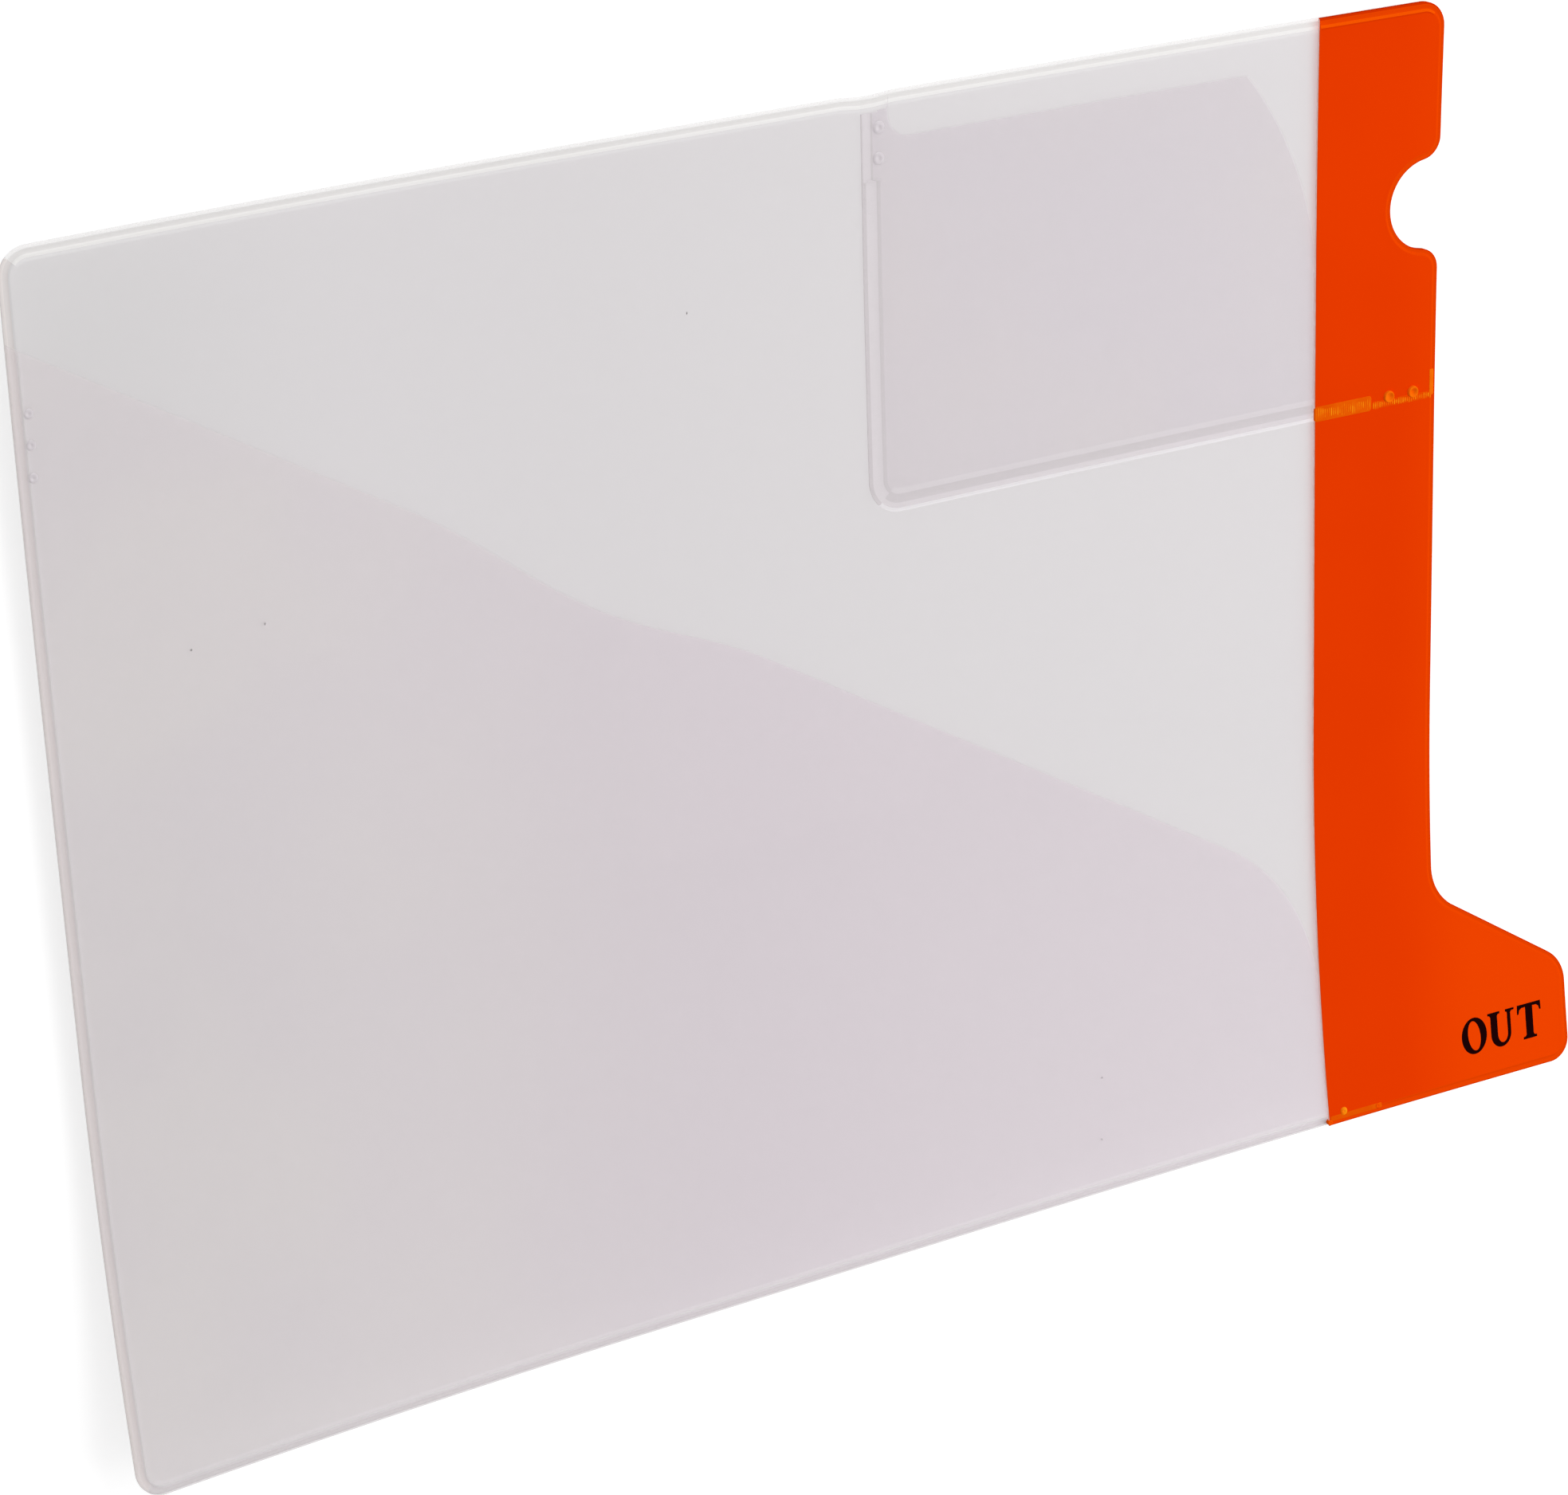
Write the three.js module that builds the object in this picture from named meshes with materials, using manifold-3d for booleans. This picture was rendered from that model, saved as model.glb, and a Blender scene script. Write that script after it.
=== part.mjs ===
// A translucent vinyl out guide for an end-tab filing shelf, lying on its back.
// A frosted back sheet carries a wide pocket with a diagonal mouth, a small card pocket and an orange
// end strip whose lower corner runs out into a tab. The layers are welded round their edges, with the
// weld pressed a little below each sheet's face, and the margins of the whole guide curl up slightly.
// Units are millimetres. X runs along the width toward the tab, Y up the height, Z out of the front.
import * as THREE from "three";
import { mergeVertices } from "three/addons/utils/BufferGeometryUtils.js";
import Module from "manifold-3d";

// Outline of the back sheet, measured from its lower left corner
const SHEET_WIDTH = 307.5;
const SHEET_HEIGHT = 241.3;
const SHEET_CORNER_RADIUS = 5.5;

// The tab at the lower right, past the sheet's right edge
const TAB_REACH = 34;
const TAB_TIP_HEIGHT = 22.7;
const TAB_SLOPE_DEGREES = 33.8;
const TAB_INNER_RADIUS = 12;
const TAB_SHOULDER_RADIUS = 9;
const TAB_CORNER_RADIUS = 5;

// The round thumb notch in the right edge, with rounded lips
const NOTCH_RADIUS = 9.5;
const NOTCH_DEPTH = 12;
const NOTCH_LIP_RADIUS = 4.5;
const NOTCH_CENTRE_BELOW_TOP = 42;

// The orange end strip, and how far the pocket panels are tucked under it
const STRIP_WIDTH = 30.2;
const TUCK_WIDTH = 13.7;

// The wide pocket: its mouth falls from the left edge to the strip, with one shallow dip on the way
const DIAGONAL_MOUTH_LEFT_HEIGHT = 224.7;
const DIAGONAL_MOUTH_FALL_DEGREES = 31.5;
const DIAGONAL_MOUTH_END_RADIUS = 45;
const DIP_DEPTH = 4.4;
const DIP_CENTRE = 112;
const DIP_WIDTH = 74;
const DIP_STEPS = 10;
const DIAGONAL_TUCK_TOP = 26;

// The card pocket in the upper right, hung from the top edge beside the strip
const CARD_POCKET_WIDTH = 104.8;
const CARD_POCKET_HEIGHT = 83.8;
const CARD_POCKET_RADIUS = 7;
const CARD_MOUTH_DROP = 8.9;
const CARD_EAR_WIDTH = 6;
const CARD_EAR_RADIUS = 8;
const CARD_THUMB_CUT_WIDTH = 17.1;
const CARD_THUMB_CUT_HEIGHT = 38;
const CARD_THUMB_CUT_BULGE = 2.8;
const THUMB_CUT_STEPS = 6;
const CARD_TUCK_TOP_BELOW_CUT = 5;

// Sheet thicknesses, and the gap left between the sheets where they lie on each other
const BACK_THICKNESS = 0.4;
const PANEL_THICKNESS = 0.25;
const STRIP_THICKNESS = 0.35;
const LAYER_GAP = 0.3;

// The pressed welds
const EDGE_WELD_WIDTH = 2.3;
const CARD_WELD_WIDTH = 3.4;
const CARD_WELD_NARROW_WIDTH = 2.1;
const CARD_WELD_NARROW_LENGTH = 16.8;
const WELD_PRESS = 0.1;

// The curl: each margin rises as a parabola from the flat middle to its edge
const LEFT_CURL_WIDTH = 112.5;
const LEFT_CURL_RISE = 4.2;
const RIGHT_CURL_WIDTH = 154;
const RIGHT_CURL_RISE = 3.1;
const TOP_CURL_WIDTH = 90.5;
const TOP_CURL_RISE = 1.7;
const BOTTOM_CURL_WIDTH = 90.5;
const BOTTOM_CURL_RISE = 6.9;

// How finely arcs and curled faces are divided
const ARC_SEGMENTS = 6;
const CURL_STEPS_ACROSS = 20;
const CURL_STEPS_UP = 14;
const MERGE_DISTANCE = 1e-4;
const SMALLEST_RADIUS = 0.3;

const OVERALL_WIDTH = SHEET_WIDTH + TAB_REACH;
const STRIP_LEFT = SHEET_WIDTH - STRIP_WIDTH;
const TUCK_RIGHT = STRIP_LEFT + TUCK_WIDTH;
const PANEL_BASE = BACK_THICKNESS + LAYER_GAP;
const STRIP_BASE = PANEL_BASE + PANEL_THICKNESS + LAYER_GAP;

// How far the plates and the cutter that the sheets are cut with reach past the guide
const PLATE_MARGIN = 1;
const CUTTER_HEIGHT =
  2 * PLATE_MARGIN + STRIP_BASE + STRIP_THICKNESS + LEFT_CURL_RISE + RIGHT_CURL_RISE +
  TOP_CURL_RISE + BOTTOM_CURL_RISE;

const wasm = await Module();
wasm.setup();

// An outline is a list of corners, counter-clockwise. Each holds its place, the radius it is rounded
// with, and the width of the weld along the edge that leaves it.
function corner(x, y, radius = 0, weld = 0) {
  return { at: new THREE.Vector2(x, y), radius, weld };
}

// The inward normal of the edge from one corner to the next
function inwardNormal(from, to) {
  const along = to.at.clone().sub(from.at).normalize();
  return new THREE.Vector2(-along.y, along.x);
}

// How far the outline turns at a corner: positive where it is convex, negative where it is hollow
function turnAt(before, here, after) {
  const arriving = here.at.clone().sub(before.at);
  const leaving = after.at.clone().sub(here.at);
  return Math.atan2(arriving.cross(leaving), arriving.dot(leaving));
}

// The same outline with every welded edge moved inward by its weld, and its corners rounded to match
function insideTheWeld(corners) {
  return corners.map((here, index) => {
    const before = corners.at(index - 1);
    const after = corners[(index + 1) % corners.length];
    if (before.weld === 0 && here.weld === 0) {
      return here;
    }
    const arrivingNormal = inwardNormal(before, here);
    const leavingNormal = inwardNormal(here, after);
    const across = arrivingNormal.cross(leavingNormal);
    const shift = new THREE.Vector2(
      (before.weld * leavingNormal.y - here.weld * arrivingNormal.y) / across,
      (here.weld * arrivingNormal.x - before.weld * leavingNormal.x) / across,
    );
    const smaller = Math.min(before.weld, here.weld);
    const radius = turnAt(before, here, after) > 0 ? here.radius - smaller : here.radius + smaller;
    return corner(
      here.at.x + shift.x,
      here.at.y + shift.y,
      here.radius > 0 ? Math.max(radius, SMALLEST_RADIUS) : 0,
      here.weld,
    );
  });
}

// A closed shape from an outline, with each corner rounded by an arc
function roundedShape(corners) {
  const shape = new THREE.Shape();
  corners.forEach((here, index) => {
    const before = corners.at(index - 1);
    const after = corners[(index + 1) % corners.length];
    const turn = turnAt(before, here, after);
    const back = here.radius * Math.tan(Math.abs(turn) / 2);
    const start = here.at.clone().add(before.at.clone().sub(here.at).setLength(back));
    if (index === 0) {
      shape.moveTo(start.x, start.y);
    } else {
      shape.lineTo(start.x, start.y);
    }
    if (here.radius > 0) {
      const side = Math.sign(turn);
      const centre = start.clone().addScaledVector(inwardNormal(before, here), side * here.radius);
      const first = Math.atan2(start.y - centre.y, start.x - centre.x);
      shape.absarc(centre.x, centre.y, here.radius, first, first + turn, turn < 0);
    }
  });
  shape.closePath();
  return shape;
}

// The corners up the right side, from the tab's lower corner to the top: tab, edge, notch and edge.
// The strip and the back sheet share them.
function endProfile() {
  const slope = Math.tan(THREE.MathUtils.degToRad(TAB_SLOPE_DEGREES));
  const notchY = SHEET_HEIGHT - NOTCH_CENTRE_BELOW_TOP;
  const notchX = SHEET_WIDTH - NOTCH_DEPTH + NOTCH_RADIUS;
  const lipX = SHEET_WIDTH - NOTCH_LIP_RADIUS;
  const lipRise = Math.sqrt((NOTCH_RADIUS + NOTCH_LIP_RADIUS) ** 2 - (lipX - notchX) ** 2);
  const lean = (notchX - lipX) / lipRise;
  const meetX = notchX + ((lipX - notchX) * NOTCH_RADIUS) / (NOTCH_RADIUS + NOTCH_LIP_RADIUS);
  const meetRise = (lipRise * NOTCH_RADIUS) / (NOTCH_RADIUS + NOTCH_LIP_RADIUS);
  const lipCornerRise = meetRise + lean * (SHEET_WIDTH - meetX);
  const floorCornerRise = meetRise - lean * (meetX - (SHEET_WIDTH - NOTCH_DEPTH));
  const floorX = SHEET_WIDTH - NOTCH_DEPTH;
  const weld = EDGE_WELD_WIDTH;
  return [
    corner(OVERALL_WIDTH, 0, TAB_CORNER_RADIUS, weld),
    corner(OVERALL_WIDTH, TAB_TIP_HEIGHT, TAB_SHOULDER_RADIUS, weld),
    corner(SHEET_WIDTH, TAB_TIP_HEIGHT + TAB_REACH * slope, TAB_INNER_RADIUS, weld),
    corner(SHEET_WIDTH, notchY - lipCornerRise, NOTCH_LIP_RADIUS, weld),
    corner(floorX, notchY - floorCornerRise, NOTCH_RADIUS, weld),
    corner(floorX, notchY + floorCornerRise, NOTCH_RADIUS, weld),
    corner(SHEET_WIDTH, notchY + lipCornerRise, NOTCH_LIP_RADIUS, weld),
    corner(SHEET_WIDTH, SHEET_HEIGHT, SHEET_CORNER_RADIUS, weld),
  ];
}

function backOutline() {
  return [
    corner(0, 0, SHEET_CORNER_RADIUS, EDGE_WELD_WIDTH),
    ...endProfile(),
    corner(0, SHEET_HEIGHT, SHEET_CORNER_RADIUS, EDGE_WELD_WIDTH),
  ];
}

function stripOutline() {
  return [
    corner(STRIP_LEFT, 0, 0, EDGE_WELD_WIDTH),
    ...endProfile(),
    corner(STRIP_LEFT, SHEET_HEIGHT, 0, 0),
  ];
}

// The height of the diagonal mouth at a distance from the left edge, with its dip
function diagonalMouthHeight(x) {
  const fall = x * Math.tan(THREE.MathUtils.degToRad(DIAGONAL_MOUTH_FALL_DEGREES));
  const phase = (x - DIP_CENTRE) / DIP_WIDTH;
  const dip = Math.abs(phase) < 0.5 ? DIP_DEPTH * Math.cos(Math.PI * phase) ** 2 : 0;
  return DIAGONAL_MOUTH_LEFT_HEIGHT - fall - dip;
}

function diagonalPocketOutline() {
  const corners = [
    corner(0, 0, SHEET_CORNER_RADIUS, EDGE_WELD_WIDTH),
    corner(TUCK_RIGHT, 0, 0, 0),
    corner(TUCK_RIGHT, DIAGONAL_TUCK_TOP, 0, 0),
    corner(STRIP_LEFT + LAYER_GAP, DIAGONAL_TUCK_TOP, 0, 0),
    corner(
      STRIP_LEFT + LAYER_GAP,
      diagonalMouthHeight(STRIP_LEFT + LAYER_GAP),
      DIAGONAL_MOUTH_END_RADIUS,
      0,
    ),
  ];
  for (let step = DIP_STEPS; step >= 0; step -= 1) {
    const x = DIP_CENTRE + DIP_WIDTH * (step / DIP_STEPS - 0.5);
    corners.push(corner(x, diagonalMouthHeight(x), 0, 0));
  }
  corners.push(corner(0, diagonalMouthHeight(0), 0, EDGE_WELD_WIDTH));
  return corners;
}

// The curved thumb cut at the card pocket's right, from its lower end up to the mouth
function thumbCut(lowX, lowY) {
  const points = [];
  for (let step = 0; step <= THUMB_CUT_STEPS; step += 1) {
    const share = step / THUMB_CUT_STEPS;
    const chord = new THREE.Vector2(-CARD_THUMB_CUT_WIDTH, CARD_THUMB_CUT_HEIGHT);
    const outward = new THREE.Vector2(chord.y, -chord.x).normalize();
    const bulge = CARD_THUMB_CUT_BULGE * 4 * share * (1 - share);
    points.push(
      corner(
        lowX + chord.x * share + outward.x * bulge,
        lowY + chord.y * share + outward.y * bulge,
        0,
        0,
      ),
    );
  }
  return points;
}

function cardPocketOutline() {
  const left = STRIP_LEFT - CARD_POCKET_WIDTH;
  const floor = SHEET_HEIGHT - CARD_POCKET_HEIGHT;
  const mouth = SHEET_HEIGHT - CARD_MOUTH_DROP;
  const cutLow = mouth - CARD_THUMB_CUT_HEIGHT;
  const tuckTop = cutLow - CARD_TUCK_TOP_BELOW_CUT;
  const cutX = STRIP_LEFT + LAYER_GAP;
  return [
    corner(left, floor, CARD_POCKET_RADIUS, CARD_WELD_WIDTH),
    corner(TUCK_RIGHT, floor, 0, 0),
    corner(TUCK_RIGHT, tuckTop, 0, 0),
    corner(cutX, tuckTop, 0, 0),
    ...thumbCut(cutX, cutLow),
    corner(left + CARD_EAR_WIDTH, mouth, CARD_EAR_RADIUS, 0),
    corner(left + CARD_EAR_WIDTH, SHEET_HEIGHT, 0, EDGE_WELD_WIDTH),
    corner(left, SHEET_HEIGHT, 0, CARD_WELD_WIDTH),
  ];
}

function solidFrom(geometry) {
  geometry.deleteAttribute("normal");
  geometry.deleteAttribute("uv");
  const merged = mergeVertices(geometry, MERGE_DISTANCE);
  return new wasm.Manifold(
    new wasm.Mesh({
      numProp: 3,
      vertProperties: merged.getAttribute("position").array,
      triVerts: new Uint32Array(merged.index.array),
    }),
  );
}

function geometryFrom(solid) {
  const mesh = solid.getMesh();
  const geometry = new THREE.BufferGeometry();
  geometry.setAttribute("position", new THREE.BufferAttribute(mesh.vertProperties, mesh.numProp));
  geometry.setIndex(new THREE.BufferAttribute(mesh.triVerts, 1));
  return geometry;
}

// The rise of one margin at a depth into it
function marginRise(depth, width, rise) {
  return depth > 0 ? rise * (depth / width) ** 2 : 0;
}

// The height of the curled guide's underside over a point of the flat outline
function curlHeight(x, y) {
  return (
    marginRise(LEFT_CURL_WIDTH - x, LEFT_CURL_WIDTH, LEFT_CURL_RISE) +
    marginRise(x - (OVERALL_WIDTH - RIGHT_CURL_WIDTH), RIGHT_CURL_WIDTH, RIGHT_CURL_RISE) +
    marginRise(y - (SHEET_HEIGHT - TOP_CURL_WIDTH), TOP_CURL_WIDTH, TOP_CURL_RISE) +
    marginRise(BOTTOM_CURL_WIDTH - y, BOTTOM_CURL_WIDTH, BOTTOM_CURL_RISE)
  );
}

// An untrimmed curled plate, a little wider than the guide, with its underside at a height over the table
function curledPlate(base, thickness) {
  const plate = new THREE.BoxGeometry(
    OVERALL_WIDTH + 2 * PLATE_MARGIN,
    SHEET_HEIGHT + 2 * PLATE_MARGIN,
    thickness,
    CURL_STEPS_ACROSS,
    CURL_STEPS_UP,
  );
  plate.translate(OVERALL_WIDTH / 2, SHEET_HEIGHT / 2, base + thickness / 2);
  const position = plate.getAttribute("position");
  for (let index = 0; index < position.count; index += 1) {
    const lift = curlHeight(position.getX(index), position.getY(index));
    position.setZ(index, position.getZ(index) + lift);
  }
  return solidFrom(plate);
}

// The part of a curled plate that lies inside an outline
function cutFrom(plate, corners) {
  const settings = { depth: CUTTER_HEIGHT, bevelEnabled: false, curveSegments: ARC_SEGMENTS };
  const cutter = new THREE.ExtrudeGeometry(roundedShape(corners), settings);
  cutter.translate(0, 0, -PLATE_MARGIN);
  return plate.intersect(solidFrom(cutter));
}

// A curled sheet of even thickness whose welded edges are pressed below its face
function weldedSheet(corners, base, thickness) {
  const pressed = cutFrom(curledPlate(base, thickness - WELD_PRESS), corners);
  return pressed.add(cutFrom(curledPlate(base, thickness), insideTheWeld(corners)));
}

// The unpressed sliver beside the card pocket's weld, where the weld starts narrow at the top
function narrowWeldFace() {
  const left = STRIP_LEFT - CARD_POCKET_WIDTH;
  const top = SHEET_HEIGHT - EDGE_WELD_WIDTH;
  const foot = SHEET_HEIGHT - CARD_WELD_NARROW_LENGTH;
  return cutFrom(curledPlate(PANEL_BASE, PANEL_THICKNESS), [
    corner(left + CARD_WELD_NARROW_WIDTH, foot),
    corner(left + CARD_WELD_WIDTH, foot),
    corner(left + CARD_WELD_WIDTH, top),
    corner(left + CARD_WELD_NARROW_WIDTH, top),
  ]);
}

function finish(color, roughness, opacity) {
  return new THREE.MeshStandardMaterial({
    color,
    roughness,
    metalness: 0,
    opacity,
    transparent: opacity < 1,
  });
}

function sheetMesh(name, solid, material) {
  const geometry = geometryFrom(solid);
  geometry.computeVertexNormals();
  const mesh = new THREE.Mesh(geometry, material);
  mesh.name = name;
  return mesh;
}

const frostedVinyl = finish("#dad9da", 0.5, 0.75);
const pocketVinyl = finish("#d5d0d4", 0.4, 0.55);
const orangeVinyl = finish("#e63900", 0.35, 1);

const backSheet = weldedSheet(backOutline(), 0, BACK_THICKNESS);
const diagonalPocket = weldedSheet(diagonalPocketOutline(), PANEL_BASE, PANEL_THICKNESS);
const cardPocket = weldedSheet(cardPocketOutline(), PANEL_BASE, PANEL_THICKNESS).add(narrowWeldFace());
const tabStrip = weldedSheet(stripOutline(), STRIP_BASE, STRIP_THICKNESS);

const guide = new THREE.Group();
guide.add(sheetMesh("back_sheet", backSheet, frostedVinyl));
guide.add(sheetMesh("diagonal_pocket", diagonalPocket, pocketVinyl));
guide.add(sheetMesh("card_pocket", cardPocket, pocketVinyl));
guide.add(sheetMesh("tab_strip", tabStrip, orangeVinyl));
guide.position.set(-OVERALL_WIDTH / 2, -SHEET_HEIGHT / 2, 0);

export default guide;
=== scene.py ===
"""The look of a translucent vinyl pocket folder with an orange end strip, lying curled on a table.

Sizes are millimetres on the flat folder, measured from the sheet's lower left corner: x along the
width toward the tab, y up the height. Every piece is laid out flat, then lifted onto the curl.
"""

import logging
import math
from dataclasses import dataclass, field
from enum import Enum

import bmesh
import bpy
from mathutils import Matrix, Vector


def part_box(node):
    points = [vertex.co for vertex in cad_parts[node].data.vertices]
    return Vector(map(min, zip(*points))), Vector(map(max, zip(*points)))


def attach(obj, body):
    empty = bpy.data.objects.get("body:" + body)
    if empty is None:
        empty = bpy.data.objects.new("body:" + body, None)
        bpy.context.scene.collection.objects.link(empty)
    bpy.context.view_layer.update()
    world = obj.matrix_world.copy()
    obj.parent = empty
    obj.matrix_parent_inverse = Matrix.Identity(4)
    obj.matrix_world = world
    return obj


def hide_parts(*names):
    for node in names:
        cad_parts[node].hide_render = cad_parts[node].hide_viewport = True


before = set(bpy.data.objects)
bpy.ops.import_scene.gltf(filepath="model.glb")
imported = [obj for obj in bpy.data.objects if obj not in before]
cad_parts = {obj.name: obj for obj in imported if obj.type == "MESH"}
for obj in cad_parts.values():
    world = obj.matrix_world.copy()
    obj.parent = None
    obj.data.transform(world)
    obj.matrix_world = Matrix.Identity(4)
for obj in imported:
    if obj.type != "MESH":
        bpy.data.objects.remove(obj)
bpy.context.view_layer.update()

LOG = logging.getLogger("pocket_folder")
MM = 0.001
ROOT_BODY = "root"
TONE_LAYER = "rim_tone"
SHARP_DEGREES = 42.0

Socket = bpy.types.NodeSocket
Point = tuple[float, float]
Place = tuple[float, float, float]

# The folder's own sizes, in millimetres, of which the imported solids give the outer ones
BACK_LOW, BACK_HIGH = (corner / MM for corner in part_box("back_sheet"))
TAB_REACH = 34.0
TUCK_WIDTH = 13.7
CARD_WIDTH = 104.8
CARD_HEIGHT = 83.8
CARD_STEP_DROP = 16.8
OVERALL_WIDTH = BACK_HIGH.x - BACK_LOW.x
SHEET_WIDTH = OVERALL_WIDTH - TAB_REACH
SHEET_HEIGHT = BACK_HIGH.y - BACK_LOW.y
STRIP_LEFT = (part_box("tab_strip")[0] / MM).x - BACK_LOW.x
TUCK_RIGHT = STRIP_LEFT + TUCK_WIDTH
CARD_LEFT = STRIP_LEFT - CARD_WIDTH
CARD_FLOOR = SHEET_HEIGHT - CARD_HEIGHT
CARD_STEP = SHEET_HEIGHT - CARD_STEP_DROP

# Sheet thicknesses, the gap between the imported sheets, what a dropped rim leaves of it, and the heights
# of the layers over the table, in millimetres
BACK_THICKNESS = 0.4
PANEL_THICKNESS = 0.25
STRIP_THICKNESS = 0.35
LAYER_GAP = 0.3
REST_GAP = 0.02
PANEL_BASE = BACK_THICKNESS + LAYER_GAP
PANEL_TOP = PANEL_BASE + PANEL_THICKNESS
STRIP_BASE = PANEL_TOP + LAYER_GAP
STRIP_TOP = STRIP_BASE + STRIP_THICKNESS

# How far the wide and the narrow fused band stand over the strip, in millimetres
WIDE_PROUD = 0.13
NARROW_PROUD = 0.065


def linear(hex_colour: str) -> tuple[float, ...]:
    """An sRGB hex colour as linear values.

    Args:
        hex_colour: Six hex digits after a hash sign.

    Returns:
        Red, green, blue and an alpha of 1.
    """
    channels = [int(hex_colour[place:place + 2], 16) / 255 for place in (1, 3, 5)]
    return (*[c / 12.92 if c <= 0.04045 else ((c + 0.055) / 1.055) ** 2.4 for c in channels], 1.0)


def add_node(tree: bpy.types.NodeTree, kind: str, links: dict | None = None,
             **settings: object) -> bpy.types.Node:
    """Adds a node, with its settings and its inputs.

    Args:
        tree: The tree that the node goes into.
        kind: The node's type name.
        links: Values, output sockets or nodes by the input's name or number. A node stands for its
            first output.
        settings: Properties of the node itself.

    Returns:
        The new node.
    """
    node = tree.nodes.new(kind)
    for name, value in settings.items():
        setattr(node, name, value)
    for place, value in (links or {}).items():
        source = value.outputs[0] if isinstance(value, bpy.types.Node) else value
        if isinstance(source, Socket):
            tree.links.new(source, node.inputs[place])
        else:
            node.inputs[place].default_value = source
    return node


def to_row(x: float, y: float, z: float) -> Place:
    """A place on the flat folder, in millimetres, as a place in the row frame, in metres."""
    return ((x + BACK_LOW.x) * MM, (y + BACK_LOW.y) * MM, z * MM)


class Edge(Enum):
    """How one edge of a sheet is finished, with the width of its welded band in millimetres."""

    CUT = 0.0
    END_WELD = 1.2
    BOTTOM_WELD = 1.5
    SIDE_WELD = 2.0
    CARD_TOP_WELD = 2.1
    TOP_WELD = 1.8
    CARD_END_WELD = 2.2
    CARD_WELD = 3.4
    CARD_FLOOR_WELD = 3.5


@dataclass(frozen=True)
class Corner:
    """A corner of an outline, its rounding, and the finish of the edge that leaves it."""

    x: float
    y: float
    radius: float = 0.0
    edge: Edge = Edge.CUT


@dataclass(frozen=True)
class Station:
    """A point of a sampled outline, and how it moves inward for a depth into each adjoining edge.

    On a straight stretch or an arc it moves along inward, and blend says how far the arc has turned from
    the arriving edge to the leaving one. At a sharp corner it moves along both edges instead.
    """

    place: Vector
    arriving: Edge
    leaving: Edge
    inward: Vector | None = None
    by_arriving: Vector | None = None
    by_leaving: Vector | None = None
    slant: float = 1.0
    fold: float = 0.0
    blend: float = 1.0

    @property
    def edge(self) -> Edge:
        """The edge that the faces after this station belong to."""
        return self.leaving if self.blend >= 0.5 else self.arriving

    def at(self, before: Point, after: Point) -> Place:
        """The station moved inward to one level of the rim's cross-section.

        Args:
            before: The arriving edge's depth and height at this level.
            after: The leaving edge's depth and height at this level.

        Returns:
            The moved place, and its height over the sheet's underside.
        """
        if self.inward is None:
            place = self.place + self.by_arriving * before[0] + self.by_leaving * after[0]
            return (place.x, place.y, after[1] if self.leaving is Edge.CUT else before[1])
        depth, height = (first + (last - first) * self.blend for first, last in zip(before, after))
        place = self.place + self.inward * depth
        return (place.x, place.y, height)


@dataclass(frozen=True)
class Outline:
    """A closed outline, counter-clockwise, with rounded corners."""

    corners: tuple[Corner, ...]
    spacing: float = 2.4
    arc_spacing: float = 0.7
    least_arc_steps: int = 4
    clearance: float = 1.35
    cut_clearance: float = 0.65
    straight_sine: float = 1e-3

    def _depth(self, edge: Edge) -> float:
        """How far in from an edge its rings reach, with a little to spare."""
        return self.cut_clearance if edge is Edge.CUT else edge.value + self.clearance

    def _reach(self, corner: Station, own: Edge, other: Edge) -> float:
        """How far a sharp corner's rings reach along one of its edges.

        Args:
            corner: The corner's last or first station.
            own: The edge along which they reach.
            other: The edge on the corner's other side.

        Returns:
            The distance from the corner, in millimetres.
        """
        if corner.inward:
            return 0.0
        return (self._depth(other) + corner.fold * self._depth(own)) / corner.slant

    def _corner_stations(self, index: int) -> list[Station]:
        """The stations round one corner: an arc where it has a radius, otherwise its own point.

        Args:
            index: The corner's number.

        Returns:
            The stations in order.
        """
        before, here = self.corners[index - 1], self.corners[index]
        after = self.corners[(index + 1) % len(self.corners)]
        arriving = Vector((here.x - before.x, here.y - before.y)).normalized()
        leaving = Vector((after.x - here.x, after.y - here.y)).normalized()
        across = arriving.cross(leaving)
        turn = math.atan2(across, arriving.dot(leaving))
        point = Vector((here.x, here.y))
        edges = (before.edge, here.edge)
        if abs(across) < self.straight_sine:
            return [Station(point, *edges, inward=Vector((-arriving.y, arriving.x)))]
        if here.radius == 0:
            return [Station(point, *edges, by_arriving=leaving / across, by_leaving=-arriving / across,
                            slant=abs(across), fold=max(0.0, -arriving.dot(leaving)))]
        side = math.copysign(1.0, turn)
        start = point - arriving * here.radius * math.tan(abs(turn) / 2)
        centre = start + Vector((-arriving.y, arriving.x)) * side * here.radius
        steps = max(self.least_arc_steps, round(here.radius * abs(turn) / self.arc_spacing))
        stations = []
        for step in range(steps + 1):
            spoke = start - centre
            spoke.rotate(Matrix.Rotation(turn * step / steps, 2))
            inward = -spoke.normalized() * side
            stations.append(Station(centre + spoke, *edges, inward=inward, blend=step / steps))
        return stations

    def stations(self) -> list[Station]:
        """The whole outline as stations, with the straight stretches divided.

        Returns:
            The stations in order, counter-clockwise.
        """
        rounds = [self._corner_stations(index) for index in range(len(self.corners))]
        made: list[Station] = []
        for index, stretch in enumerate(rounds):
            made.extend(stretch)
            first, last = stretch[-1], rounds[(index + 1) % len(rounds)][0]
            run = last.place - first.place
            edge = self.corners[index].edge
            start = self._reach(first, edge, first.arriving)
            end = run.length - self._reach(last, edge, last.leaving)
            if end <= start:
                continue
            direction = run.normalized()
            inward = Vector((-direction.y, direction.x))
            pieces = int((end - start) // self.spacing) + 1
            for piece in range(pieces + 1):
                along = start + (end - start) * piece / pieces
                if 0.0 < along < run.length:
                    made.append(Station(first.place + direction * along, edge, edge, inward=inward))
        return made


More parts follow.
